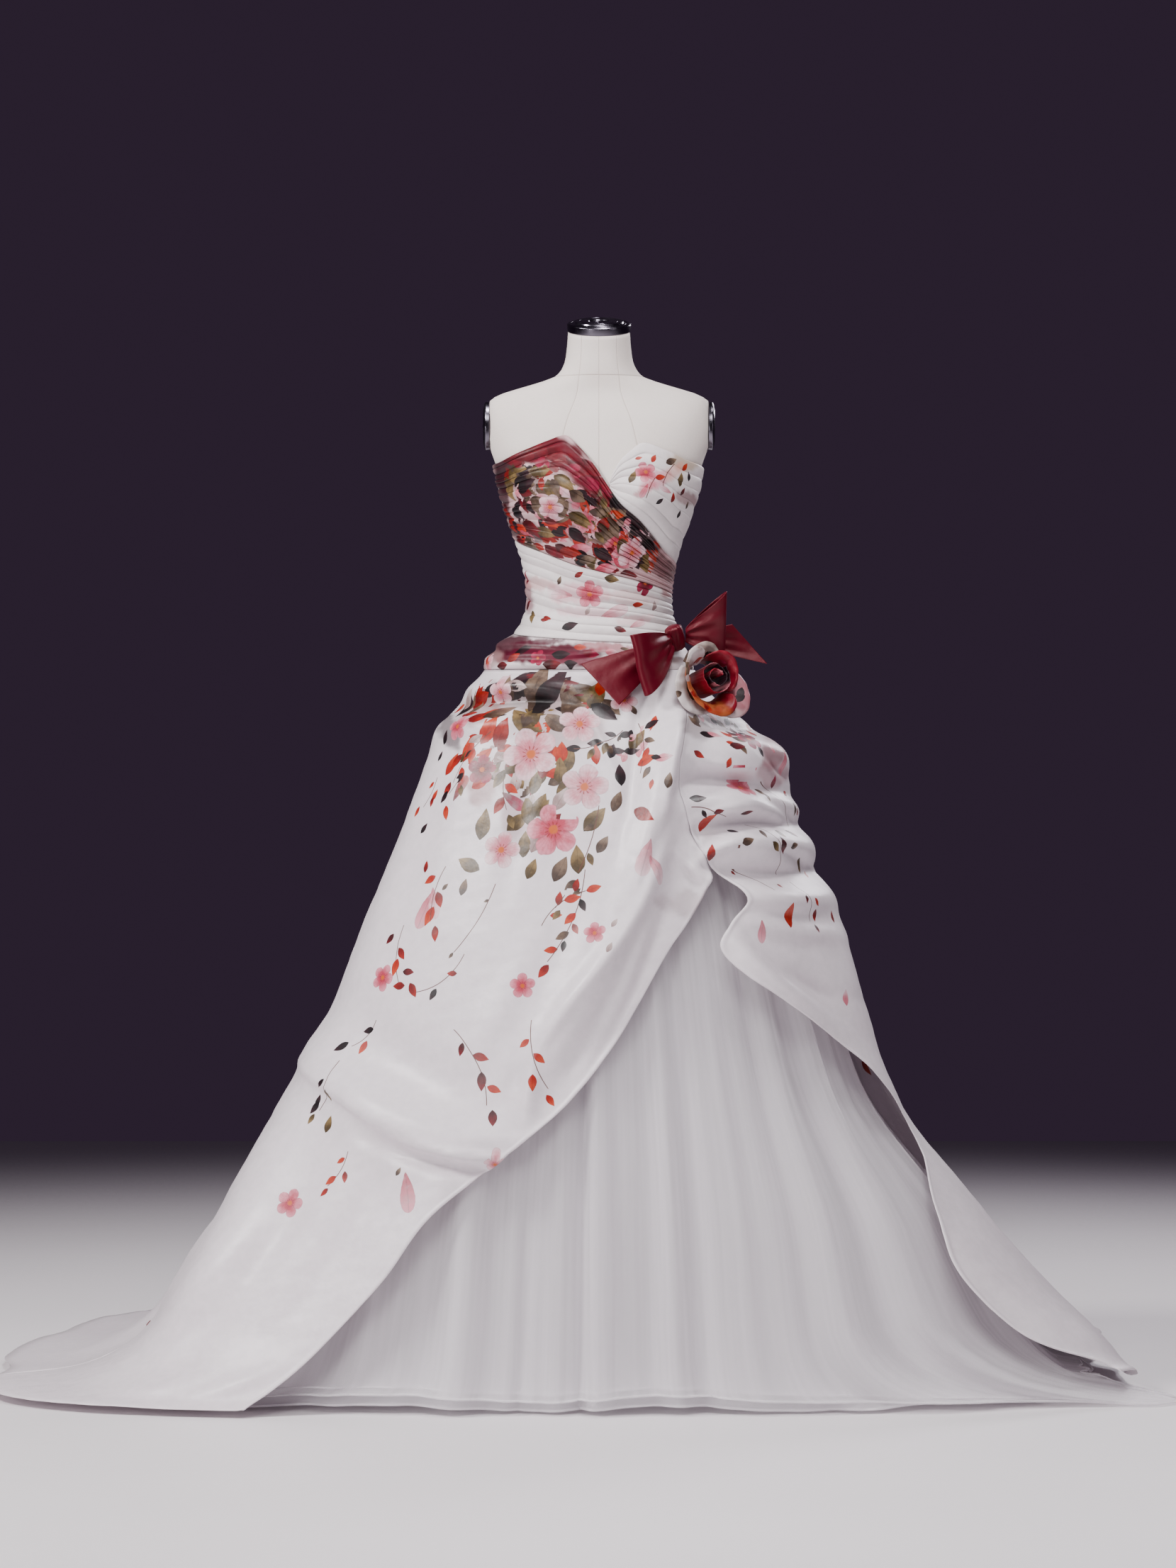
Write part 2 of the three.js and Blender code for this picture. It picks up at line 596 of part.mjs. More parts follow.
function buildBodice() {
  const side = 0.08; // degrees, half the gap at a seam
  const front = { from: -90 + side, to: 90 - side, columns: 20 };
  const cup = { from: 9, to: 90 - side, columns: 9 };
  const right = { from: 90 + side, to: 180 - side, columns: 10 };
  const left = { from: 180 + side, to: 270 - side, columns: 10 };
  bodicePanel("bodice_wrap", { ...front, pleats: WRAP_PLEATS, top: WRAP_TOP, foot: WRAP_FOOT });
  bodicePanel("bodice_cup", { ...cup, pleats: CUP_PLEATS, top: CUP_TOP, foot: WRAP_TOP });
  bodicePanel("bodice_waist", { ...front, pleats: WAIST_PLEATS, top: WRAP_FOOT, foot: WAIST_FOOT });
  bodicePanel("bodice_back_right", { ...right, pleats: BACK_PLEATS, top: BACK_TOP, foot: WAIST_FOOT });
  bodicePanel("bodice_back_left", { ...left, pleats: BACK_PLEATS, top: BACK_TOP, foot: WAIST_FOOT });
}

// The draped band round the hips: from the bodice's foot, out in a soft roll, to the overskirt's seam.
function hipPoint(angle, down) {
  const degrees = THREE.MathUtils.radToDeg(angle);
  const out = outwardAt(angle);
  const top = bodicePoint(angle, between(WAIST_FOOT, "at", "z", degrees)).addScaledVector(out, ON_FORM);
  const foot = skirtPoint(angle, 0);
  foot.z += SEAM;
  const leftFront = smooth(-Math.sin(angle - HIP_ROLL.turn), -0.2, 0.9);
  const roll = (HIP_ROLL.round + HIP_ROLL.left * leftFront) * Math.sin(Math.PI * down);
  const tuck = HIP_ROLL.tuck * leftFront * Math.sin(3 * Math.PI * down);
  return top.lerp(foot, down).addScaledVector(out, roll + tuck);
}

function buildHipDrape() {
  const surface = (u, v) => hipPoint(THREE.MathUtils.lerp(-Math.PI / 2, 1.5 * Math.PI, u), v);
  add("hip_drape", clothWall(surface, 40, evenly(4), { round: true, level: always }), PRINTED_SILK);
}

// The angle at which the overskirt reaches a given distance across, at a share of the way down.
function angleAcross(x, fall) {
  const size = sectionAt(SKIRT_SECTIONS, "fall", fall);
  let low = 0;
  let high = (x > 0 ? 88 : -84) * (Math.PI / 180);
  for (let i = 0; i < 30; i++) {
    const middle = (low + high) / 2;
    if (Math.abs(onSection(middle, size).x) < Math.abs(x)) low = middle;
    else high = middle;
  }
  return low;
}

function buildOverskirt() {
  const edge = (side, fall) => {
    const z = between(SKIRT_SECTIONS, "fall", "z", fall);
    return angleAcross(between(OPENING, "z", side, z), fall);
  };
  const gap = radians(0.06);
  const [leftFront, leftBack] = [radians(SIDE_SEAM.left) + gap, radians(SIDE_SEAM.left) - gap];
  const [rightFront, rightBack] = [radians(SIDE_SEAM.right) - gap, radians(SIDE_SEAM.right) + gap];
  const low = [0.38, 0.45, 0.53, 0.61, 0.69, 0.77, 0.84, 0.89, 0.93, 0.965, 1];
  const draped = [...Array.from({ length: 14 }, (_, i) => 0.026 * i), ...low];
  const plain = [...Array.from({ length: 6 }, (_, i) => 0.061 * i), ...low];
  const panels = [
    { name: "front_left", from: () => leftFront, to: (v) => edge("left", v), columns: 16, rows: draped },
    { name: "back_left", from: () => gap - Math.PI, to: () => leftBack, columns: 12, rows: plain },
    { name: "back_right", from: () => rightBack, to: () => Math.PI - gap, columns: 12, rows: plain },
    { name: "front_right", from: (v) => edge("right", v), to: () => rightFront, columns: 15, rows: draped },
  ];
  const level = (v) => 1 - smooth(v, 0, 0.07);
  for (const { name, from, to, columns, rows } of panels) {
    const surface = (u, v) => skirtPoint(THREE.MathUtils.lerp(from(v), to(v), u), v);
    add(`overskirt_${name}`, clothWall(surface, columns, rows, { level }), PRINTED_SILK);
  }
}

// The under layers have seams at the sides, and the lining one at the centre back too. Their columns lie
// closest at the middle of the front, where the opening shows them.
function buildUnderskirts() {
  const gap = radians(0.04);
  const [right, back, left] = [Math.PI / 2, Math.PI, 1.5 * Math.PI];
  const spread = (t) => 1.4 * t - 0.4 * Math.sin(0.5 * Math.PI * t);
  const front = (u) => (right - gap) * spread(2 * u - 1);
  const part = (from, to) => (u) => THREE.MathUtils.lerp(from + gap, to - gap, u);
  const rows = [0, 0.07, 0.16, 0.36, 0.6, 0.8, 0.9, 0.95, 1];
  const options = { level: (v) => 1 - smooth(v, 0, 0.1) };
  const panels = [
    { name: "tulle_skirt_front", point: netPoint, turn: front, columns: 43 },
    { name: "tulle_skirt_back", point: netPoint, turn: part(right, left), columns: 23 },
    { name: "lining_skirt_front", point: liningPoint, turn: front, columns: 16 },
    { name: "lining_skirt_back_right", point: liningPoint, turn: part(right, back), columns: 7 },
    { name: "lining_skirt_back_left", point: liningPoint, turn: part(back, left), columns: 7 },
  ];
  for (const { name, point, turn, columns } of panels)
    add(name, clothWall((u, v) => point(turn(u), v), columns, rows, options), NET);
}

// The way a loop's or a tail's far edge runs: upright, tipped to the side by turn and to the front by lean.
function uprightOf({ turn, lean = 0 }) {
  const [side, front] = [radians(turn), radians(lean)];
  return new THREE.Vector3(Math.sin(side), -Math.sin(front), Math.cos(side) * Math.cos(front)).normalize();
}

function buildBow() {
  const seat = radians(BOW_KNOT.angle);
  const knot = hipPoint(seat, 0).addScaledVector(outwardAt(seat), CLOTH + BOW_KNOT.deep + BOW_KNOT.out);
  knot.z = BOW_KNOT.z;
  const steps = 5;
  const knotRings = Array.from({ length: steps + 1 }, (_, j) => {
    const t = -1 + (2 * j) / steps;
    const round = 0.72 + 0.28 * Math.sqrt(1 - 0.9 * t * t);
    return Array.from({ length: 12 }, (_, i) => {
      const a = (2 * Math.PI * i) / 12;
      const [x, y] = [BOW_KNOT.wide * round * Math.cos(a), BOW_KNOT.deep * round * Math.sin(a)];
      return new THREE.Vector3(x, y, BOW_KNOT.high * t);
    });
  });
  add("bow_knot", loft(knotRings), SATIN, (mesh) => {
    mesh.position.copy(knot);
    mesh.rotation.set(0, radians(BOW_KNOT.tip), seat, "ZYX");
  });

  // A loop's path leaves the knot in front, turns at its far edge and comes back behind.
  for (const loop of BOW_LOOPS) {
    const run = new THREE.Vector3(loop.x, loop.y, loop.z).sub(knot);
    const start = run.clone().setLength(BOW_KNOT.wide + loop.clear);
    const upright = uprightOf(loop);
    const front = new THREE.Vector3().crossVectors(run, upright).normalize();
    if (front.y > 0) front.negate();
    const surface = (u, v) => {
      const round = 2 * Math.PI * (0.035 + 0.93 * u);
      const out = 0.5 - 0.5 * Math.cos(round);
      const across = (2 * v - 1) * THREE.MathUtils.lerp(BOW_WAIST, loop.wide, power(out, 0.8));
      const crease = 1.6 * Math.cos(3 * Math.PI * v) * (1 - out);
      return knot
        .clone()
        .add(start)
        .addScaledVector(run.clone().sub(start), out)
        .addScaledVector(upright, across)
        .addScaledVector(front, loop.puff * Math.sin(round) * (0.4 + 0.6 * out) + crease);
    };
    add(`bow_loop_${loop.side}`, clothWall(surface, 14, evenly(5), { thick: RIBBON }), SATIN);
  }

  // A tail leaves the knot behind its loop and widens to a straight cut.
  for (const tail of BOW_TAILS) {
    const from = knot.clone().add(new THREE.Vector3(0, tail.start, -3));
    const run = new THREE.Vector3(tail.x, tail.y, tail.z).sub(from);
    const upright = uprightOf(tail);
    const surface = (u, v) => {
      const across = (2 * v - 1) * THREE.MathUtils.lerp(BOW_WAIST - 1, tail.wide, power(u, 0.8));
      const forward = tail.wave * Math.sin(3 * v) * u + 4 * tail.bulge * u * (1 - u);
      return from
        .clone()
        .addScaledVector(run, 0.18 + 0.82 * u)
        .addScaledVector(upright, across)
        .add(new THREE.Vector3(0, -forward, 0));
    };
    add(`bow_tail_${tail.side}`, clothWall(surface, 7, evenly(5), { thick: RIBBON }), SATIN);
  }
}

// The rosette: a rolled strip with petals round it, built on Z and then turned to face out.
function buildRosette() {
  const flower = new THREE.Group();
  const seat = radians(ROSETTE.angle);
  flower.position.copy(skirtPoint(seat, ROSETTE.fall));
  flower.position.addScaledVector(outwardAt(seat), CLOTH + ROSETTE.gap);
  flower.rotation.set(radians(90 - ROSETTE.up), 0, radians(ROSETTE.east), "ZYX");
  const onFlower = (name, geometry) => {
    const mesh = new THREE.Mesh(geometry, new THREE.MeshStandardMaterial(PRINTED_SILK));
    mesh.name = name;
    flower.add(mesh);
  };
  const heart = (u, v) => {
    const turn = 2 * Math.PI * ROSETTE_HEART.turns * u;
    const radius = THREE.MathUtils.lerp(ROSETTE_HEART.inner, ROSETTE_HEART.outer, u);
    const high = ROSETTE_HEART.high * (1 - 0.12 * u) + 2 * Math.sin(3.3 * turn);
    const stand = THREE.MathUtils.lerp(high, ROSETTE_HEART.foot, v);
    return new THREE.Vector3(radius * Math.cos(turn), radius * Math.sin(turn), stand);
  };
  onFlower("rosette_heart", clothWall(heart, 28, evenly(2)));
  ROSETTE_PETALS.forEach((petal, k) => {
    const surface = (u, v) => {
      const turn = radians(petal.middle + petal.half * (2 * u - 1));
      const edge = 1 - (2 * u - 1) ** 2;
      const rise = 1 - v;
      const radius = petal.start + petal.flare * rise ** 2 * (0.4 + 0.6 * edge) + 2.5 * u;
      const rim = petal.high * (0.7 + 0.3 * Math.sqrt(Math.max(edge, 0)));
      const high = THREE.MathUtils.lerp(petal.foot, rim, rise);
      return new THREE.Vector3(radius * Math.cos(turn), radius * Math.sin(turn), high);
    };
    onFlower(`rosette_petal_${k + 1}`, clothWall(surface, 7, evenly(4)));
  });
  gown.add(flower);
}

buildForm();
buildStand();
buildBodice();
buildHipDrape();
buildOverskirt();
buildUnderskirts();
buildBow();
buildRosette();

export default gown;
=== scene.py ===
"""Looks of a strapless ball gown on a limbless dress form.

Tables and formulas are in millimetres, and a mesh is made in metres at the end.
+Z is up, the front faces -Y, and angles go round from the front towards +X.
A cloth piece is a grid: its first index runs across, and its second runs down.
"""

import json
import math

import bpy
import numpy as np
from mathutils import Euler, Matrix, Vector

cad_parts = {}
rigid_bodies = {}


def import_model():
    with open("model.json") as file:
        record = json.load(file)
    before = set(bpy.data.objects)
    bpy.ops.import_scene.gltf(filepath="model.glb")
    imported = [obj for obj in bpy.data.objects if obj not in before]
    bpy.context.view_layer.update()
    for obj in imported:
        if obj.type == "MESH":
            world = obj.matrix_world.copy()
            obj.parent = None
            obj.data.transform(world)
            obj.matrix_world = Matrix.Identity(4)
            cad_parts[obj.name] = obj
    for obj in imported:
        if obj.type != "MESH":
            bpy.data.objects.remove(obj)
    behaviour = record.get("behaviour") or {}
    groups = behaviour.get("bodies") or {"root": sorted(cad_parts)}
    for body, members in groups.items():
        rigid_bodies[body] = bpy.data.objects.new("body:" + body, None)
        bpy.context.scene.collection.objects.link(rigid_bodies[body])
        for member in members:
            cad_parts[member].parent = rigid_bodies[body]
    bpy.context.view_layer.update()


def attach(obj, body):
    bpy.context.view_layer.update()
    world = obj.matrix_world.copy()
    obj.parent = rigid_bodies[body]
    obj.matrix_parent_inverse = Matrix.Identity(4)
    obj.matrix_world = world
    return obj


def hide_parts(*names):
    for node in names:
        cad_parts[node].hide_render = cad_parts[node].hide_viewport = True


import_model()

MM = 0.001
CLOTH = 2.0  # thickness of a cloth wall in the frame
RIBBON = 1.5  # thickness of a ribbon's wall in the frame
SEAM = 0.3  # gap between two pieces that meet
ON_FORM = 1.9  # from the form's skin to the inside of the bodice
SHEET = 0.7  # thickness of the cloth that is seen
PLATE_FACE, PLATE_HEIGHT = 166, 1462  # where the armhole plates sit, across and up
FORM_FOOT, NECK_SEAM, NECK_SLOPE_FROM, NECK_TOP = 905, 1537, 1545, 1606
FLARE_FROM, FLARE_TO = 1185, 1110  # heights between which the bodice widens over the hips
NECK_TILT = math.radians(13)
FORM_SQUARE = 2.3  # exponent of the form's sections
# The bust's two bells: place, height and width, share that goes sideways, depth over which they fade in.
CUP_X, CUP_Z, CUP_HIGH, CUP_WIDE, CUP_SIDEWAYS, CUP_FADE = 72, 1352, 20, 42, 0.3, 60
SIDE_SEAM_LEFT, SIDE_SEAM_RIGHT = -88, 92  # the overskirt's side seams in degrees
SEAM_GAP = math.radians(0.02)  # half the gap at each of the overskirt's seams
SIDE_GAP = 0.08  # degrees from a bodice panel's edge to its seam
OPENING_REACH = (math.radians(-84), math.radians(88))  # the opening's edges are looked for within these
HALVINGS = 30  # steps in which they are found
FULL_TURN = 2 * math.pi

# The form: height, half width, depth to the front, depth to the back.
FORM_SECTIONS = [
    (FORM_FOOT, 148, 92, 106), (985, 153, 98, 116), (1060, 138, 92, 104), (1110, 123, 86, 90),
    (1160, 110, 81, 80), (1210, 106, 80, 78), (1260, 114, 87, 84), (1310, 131, 99, 92),
    (1355, 146, 106, 97), (1400, 156, 101, 99), (1435, 168, 90, 98), (1470, 175, 75, 92),
    (1494, 173, 60, 82), (1510, 150, 52, 72), (1524, 104, 50, 64), (1536, 69, 50, 57),
    (1554, 54, 49, 51), (1578, 49, 47, 48), (NECK_TOP, 47, 47, 47),
]

# The overskirt: fall, height, reach to the left, right, front and back, exponent of the section.
SKIRT_SECTIONS = [
    (0.0, 1091, 172, 140, 118, 116, 2.2), (0.05, 1053, 196, 168, 147, 158, 2.2),
    (0.11, 1005, 238, 226, 177, 200, 2.2), (0.17, 950, 260, 280, 206, 236, 2.2),
    (0.25, 885, 280, 294, 230, 276, 2.2), (0.33, 810, 306, 322, 252, 322, 2.2),
    (0.43, 700, 356, 361, 282, 392, 2.2), (0.54, 570, 409, 397, 310, 474, 2.2),
    (0.65, 440, 474, 446, 335, 568, 2.3), (0.75, 310, 539, 549, 356, 680, 2.4),
    (0.84, 180, 629, 661, 374, 822, 2.6), (0.91, 84, 692, 755, 388, 950, 2.9),
    (0.96, 24, 800, 798, 396, 1062, 3.1), (1.0, 6, 922, 812, 402, 1150, 3.2),
]

# The opening's two edges: height, how far across the left one and the right one lie.
OPENING = [
    (1095, 128, 128.7), (940, 112, 112.7), (850, 135, 136), (790, 166, 172), (765, 160, 203),
    (745, 150, 212), (712, 130, 190), (680, 108, 178), (640, 84, 212), (600, 61, 266),
    (530, 16, 356), (450, -50, 424), (370, -147, 481), (290, -245, 500), (200, -312, 530),
    (110, -395, 620), (40, -470, 735), (4, -520, 775),
]

RIDGE_STEPS = 16  # straight steps that each bent line is made of

# Folds as seen from the front: the start, bend and end of a bent line, how high and how wide.
MAIN_FOLDS = [
    (118, 1086, 92, 930, 58, 790, 20, 34), (62, 810, 10, 650, -118, 480, 20, 40),
    (135, 830, 78, 640, -60, 470, -15, 34), (-440, 530, -300, 395, -120, 398, 17, 30),
    (-400, 600, -290, 460, -120, 470, -9, 45), (-470, 410, -515, 230, -640, 92, 22, 38),
    (-215, 1050, -120, 1084, -20, 1062, 13, 15), (-232, 1022, -130, 1052, -20, 1034, -10, 10),
    (-262, 990, -170, 1024, -50, 1014, 10, 20), (118, 1000, 190, 962, 292, 962, 21, 29),
    (112, 908, 165, 948, 300, 894, -15, 15), (118, 882, 185, 918, 310, 868, 17, 23),
    (150, 848, 215, 872, 325, 846, -13, 14), (150, 822, 222, 846, 335, 818, 15, 21),
    (172, 796, 235, 780, 345, 784, -12, 13), (190, 762, 250, 748, 362, 744, 15, 22),
    (186, 706, 222, 640, 350, 552, 13, 20), (330, 690, 390, 520, 440, 420, 12, 30),
]

# Finer creases of the same kind, which the frame leaves out.
FINE_FOLDS = [
    (-350, 424, -262, 374, -126, 376, 8, 7), (-356, 402, -250, 350, -120, 356, -6, 9),
    (110, 1050, 104, 930, 84, 850, 7, 9), (100, 850, 70, 740, 20, 680, 8, 12),
    (30, 690, -40, 620, -96, 520, 8, 13), (-96, 520, -108, 470, -100, 420, 5, 12),
    (140, 800, 170, 840, 214, 838, 7, 9), (116, 820, 150, 780, 172, 776, 6, 8),
    (-446, 508, -330, 400, -150, 372, 5, 9), (-430, 480, -300, 372, -110, 352, -5, 12),
    (-120, 398, -20, 420, 60, 520, 5, 14), (-30, 1040, 20, 960, 40, 860, 4, 12),
    (60, 1060, 62, 940, 20, 800, -5, 12), (96, 1000, 80, 880, 44, 740, 4, 10),
    (-170, 1030, -200, 900, -260, 760, 4, 22), (-90, 1020, -110, 880, -150, 720, -3, 20),
    (-240, 960, -290, 820, -350, 640, 5, 26), (-60, 760, -120, 600, -250, 450, 4, 26),
    (20, 760, -20, 600, -160, 440, -5, 18), (84, 760, 60, 640, -30, 500, 6, 12),
    (-350, 640, -420, 480, -500, 330, 4, 30), (-300, 400, -360, 250, -480, 110, -5, 26),
    (-200, 380, -280, 240, -400, 90, 5, 24), (-420, 330, -520, 200, -620, 60, -5, 20),
    (-500, 260, -600, 130, -760, 30, 6, 22), (-560, 190, -680, 80, -860, 20, -5, 20),
    (-560, 60, -640, 26, -760, 14, 6, 12), (-470, 70, -540, 34, -640, 16, 5, 12),
    (128, 968, 178, 940, 236, 938, 5, 8), (150, 1012, 210, 990, 270, 1000, -6, 9),
    (210, 974, 262, 950, 292, 920, -7, 9), (130, 862, 170, 886, 220, 890, 5, 7),
    (220, 900, 270, 888, 312, 850, -6, 8), (186, 842, 236, 858, 292, 842, 4, 6),
    (240, 830, 300, 812, 340, 780, -5, 8), (206, 772, 262, 760, 330, 764, -4, 7),
    (206, 726, 270, 700, 360, 690, 6, 14), (216, 690, 280, 620, 380, 590, -4, 12),
    (200, 660, 260, 560, 380, 490, 5, 12), (300, 640, 380, 560, 420, 480, -5, 16),
    (372, 520, 440, 400, 500, 300, 5, 18), (450, 400, 520, 260, 640, 140, -5, 22),
    (500, 300, 580, 180, 700, 70, 6, 22), (560, 200, 640, 100, 770, 30, -5, 18),
    (340, 800, 362, 700, 372, 600, 4, 14),
]

# Creases of the hidden sides: angle and fall at the start, the bend and the end, how high and how wide.
# They are drawn on the skirt laid flat: its length for the whole fall, its radius at the top, and what the
# fall adds to that.
LAID_LENGTH, LAID_TOP, LAID_SPREAD = 1250, 260, 700
BACK_CREASES = [
    (100, 0.03, 112, 0.12, 126, 0.22, 5, 16), (118, 0.02, 130, 0.14, 138, 0.3, 5, 18),
    (138, 0.02, 146, 0.16, 150, 0.34, -5, 15), (156, 0.02, 160, 0.2, 164, 0.42, 6, 20),
    (176, 0.02, 178, 0.2, 180, 0.4, -4, 14), (-162, 0.02, -164, 0.18, -166, 0.4, 5, 18),
    (-142, 0.02, -148, 0.16, -152, 0.34, -5, 16), (-120, 0.02, -130, 0.14, -138, 0.3, 5, 18),
    (-100, 0.03, -110, 0.12, -122, 0.24, 5, 16), (-96, 0.3, -104, 0.5, -112, 0.7, -5, 26),
    (-118, 0.4, -124, 0.6, -132, 0.86, 6, 30), (-150, 0.5, -152, 0.7, -154, 0.92, -6, 30),
    (150, 0.5, 152, 0.7, 156, 0.92, 6, 30), (122, 0.4, 126, 0.6, 132, 0.86, -6, 28),
    (100, 0.34, 106, 0.5, 112, 0.7, 5, 24), (-170, 0.6, -172, 0.8, -168, 0.97, 6, 26),
]

# The hem's corner that curls up: its angle, its width in degrees, its height, the fall it starts from.
CORNER_ANGLE, CORNER_WIDE, CORNER_HIGH, CORNER_FROM = 75, 10, 34, 0.86
# The hem: the fall it lifts from, its height off the floor, and the share of the flutes that waves it.
HEM_FROM, HEM_CLEAR, HEM_WAVE = 0.9, 7, 0.12

# Flutes round a hem: how many, how high, and where they start.
BACK_FLUTES = [(9, 18, 0.4), (14, 11, 1.9), (5, 12, 2.6)]
NET_FLUTES = [(24, 7, 0.7), (37, 4, 2.1), (11, 5, 1.2)]
FINE_FLUTES = [(31, 7.5, 0.3), (47, 4.5, 1.4), (71, 2, 2.2)]
BACK_FINE = [(22, 6.5, 0.9), (35, 4, 2.2), (58, 1.6, 0.3)]
# The net's point on the floor: its angle, its widths in degrees, how far out and back, and its height.
NET_TRAIN = {"angle": 62, "before": 15, "after": 10, "reach": 254, "back": 66, "high": 4}
UNDER_REACH = 0.95  # share of the overskirt's fall that the layers under it reach
# Those layers: how far inside at the top and below, the hem's height and wave, the furthest reach.
NET_LAYER = {"top": 2.9, "inset": 38, "hem": 26, "wave": 5, "reach": 760}
LINING_LAYER = {"top": 5.8, "inset": 66, "hem": 9, "wave": 4, "reach": 690}

# The bodice's edges: angle from the front, height.
WRAP_TOP = [
    (-90, 1402), (-72, 1406), (-57, 1421), (-43, 1436), (-31, 1444), (-20, 1430), (-8, 1408),
    (4, 1377), (16, 1343), (31, 1317), (44, 1293), (60, 1268), (90, 1246),
]
CUP_TOP = [(7, 1367), (16, 1401), (27, 1421), (38, 1433), (51, 1422), (64, 1407), (90, 1396)]
WRAP_FOOT = [(-90, 1290), (-60, 1274), (-26, 1250), (0, 1239), (36, 1226), (75, 1209), (90, 1206)]
WAIST_FOOT = [(-90, 1146), (0, 1133), (90, 1128), (180, 1130), (270, 1146)]
BACK_TOP = [(90, 1396), (180, 1372), (270, 1402)]

# How far down a piece its pleats' ridges and valleys run, and how high they stand.
WRAP_PLEATS = [
    (0, 1.6), (0.07, 3.6), (0.14, 0.4), (0.24, 3.4), (0.32, 0.3), (0.42, 3.2), (0.5, 0.3),
    (0.61, 3.4), (0.7, 0.3), (0.8, 3.2), (0.88, 0.2), (0.95, 3), (1, 1),
]
CUP_PLEATS = [(0, 1.2), (0.22, 2.6), (0.4, 0.3), (0.56, 2.8), (0.72, 0.3), (0.86, 2.4), (1, 0.3)]
WAIST_PLEATS = [
    (0, 0.8), (0.1, 3.2), (0.2, 0.3), (0.33, 2.8), (0.43, 0.2), (0.55, 3.2), (0.64, 0.2),
    (0.78, 2.4), (0.9, 0.3), (1, 1.6),
]
BACK_PLEATS = [(0, 0.7), (0.11, 0.2), (1, 0.2)]

# Where the finer, sharper pleats lie on them, as shares of the way down.
WRAP_LINES = [0, 0.055, 0.14, 0.205, 0.255, 0.32, 0.40, 0.5, 0.565, 0.63, 0.7, 0.79, 0.88, 0.94, 1]
CUP_LINES = [0, 0.13, 0.27, 0.4, 0.55, 0.72, 0.86, 1]
WAIST_LINES = [0, 0.1, 0.2, 0.31, 0.43, 0.53, 0.64, 0.77, 0.9, 1]
PLEAT_ROWS = (0, 0.05, 0.13, 0.28, 0.46, 0.66, 0.84, 0.95)  # the grid's rows within each pleat

# The kinds of printed mark, and how far each spreads across for half its length.
LEAF, BLOSSOM, STEM, PETAL = 1, 2, 3, 4
SPREAD = {LEAF: 0.56, BLOSSOM: 1.05, PETAL: 0.7}
PRINT_LAYERS = 6
LARGE = 40  # a blossom longer than this lies over the other marks
STEM_UNIT = 10.0  # a stem's bend and its width are counted in these

# The print's colours, by number: the deep one and the pale one that it runs into, as seen on a screen.
ORANGE, BRICK, WINE, PLUM, TAUPE, OLIVE, BLUSH, PINK, MAGENTA, DOVE, CRIMSON = range(11)
INKS = [
    ((186, 48, 20), (216, 96, 60)), ((140, 18, 18), (188, 56, 38)), ((88, 6, 24), (146, 26, 46)),
    ((32, 12, 24), (76, 36, 50)), ((92, 72, 60), (156, 134, 116)), ((98, 80, 46), (166, 142, 100)),
    ((226, 146, 160), (248, 220, 226)), ((208, 84, 110), (240, 172, 186)),
    ((128, 8, 50), (184, 48, 96)), ((176, 152, 150), (222, 206, 204)), ((104, 2, 34), (150, 10, 52)),
]

# The print, in a layout of its own. Washes: place, half length, half height, turn, colour, strength.
WRAP_WASHES = [
    (-96, 1424, 88, 22, -4, (122, 4, 46), 1.0), (-24, 1386, 70, 18, -40, (136, 10, 54), 1.0),
    (-140, 1400, 22, 38, 0, (74, 4, 38), 0.95), (-64, 1410, 30, 6, -26, (214, 150, 150), 0.6),
    (-148, 1350, 12, 52, 0, (76, 17, 41), 0.9), (-96, 1372, 44, 11, -32, (96, 80, 67), 0.7),
    (10, 1352, 46, 11, -42, (120, 73, 73), 0.6), (-110, 1300, 34, 16, -20, (46, 20, 32), 0.8),
    (56, 1302, 52, 17, -46, (49, 27, 38), 0.85), (20, 1318, 36, 11, -40, (164, 134, 120), 0.6),
    (-40, 1296, 44, 12, -24, (120, 32, 52), 0.6), (24, 1270, 42, 10, -26, (116, 92, 67), 0.75),
    (-96, 1254, 38, 12, -10, (128, 35, 67), 0.55), (98, 1246, 24, 16, -50, (120, 24, 46), 0.7),
    (-30, 1330, 56, 10, -32, (182, 152, 152), 0.5), (-128, 1258, 14, 30, 0, (88, 24, 46), 0.8),
]
CUP_WASHES = [
    (84, 1376, 24, 14, 30, (232, 140, 164), 0.6), (70, 1362, 20, 7, 34, (206, 60, 100), 0.5),
    (126, 1404, 14, 22, 70, (196, 170, 130), 0.6), (132, 1350, 10, 20, 80, (150, 60, 70), 0.6),
    (112, 1388, 20, 9, 40, (240, 176, 160), 0.5),
]
WAIST_WASHES = [
    (-30, 1206, 50, 16, 0, (240, 190, 200), 0.6), (46, 1200, 40, 10, -4, (242, 210, 210), 0.5),
    (-20, 1178, 46, 9, -2, (244, 206, 214), 0.5), (54, 1166, 30, 8, 6, (244, 206, 210), 0.5),
    (-112, 1206, 12, 30, 10, (150, 52, 84), 0.7), (-96, 1222, 30, 9, -8, (226, 170, 170), 0.5),
    (104, 1216, 12, 16, 0, (176, 60, 70), 0.6),
]
BAND_WASHES = [
    (-84, 1116, 84, 15, 2, (112, 4, 56), 1.0), (-30, 1106, 66, 10, -6, (132, 6, 66), 0.95),
    (-140, 1128, 40, 13, 14, (98, 6, 50), 0.95), (10, 1124, 44, 8, -4, (176, 60, 84), 0.7),
    (-170, 1106, 24, 16, 20, (185, 152, 152), 0.7), (-92, 1132, 40, 5, 4, (106, 8, 56), 0.85),
    (96, 1112, 40, 14, 0, (164, 128, 128), 0.5),
]
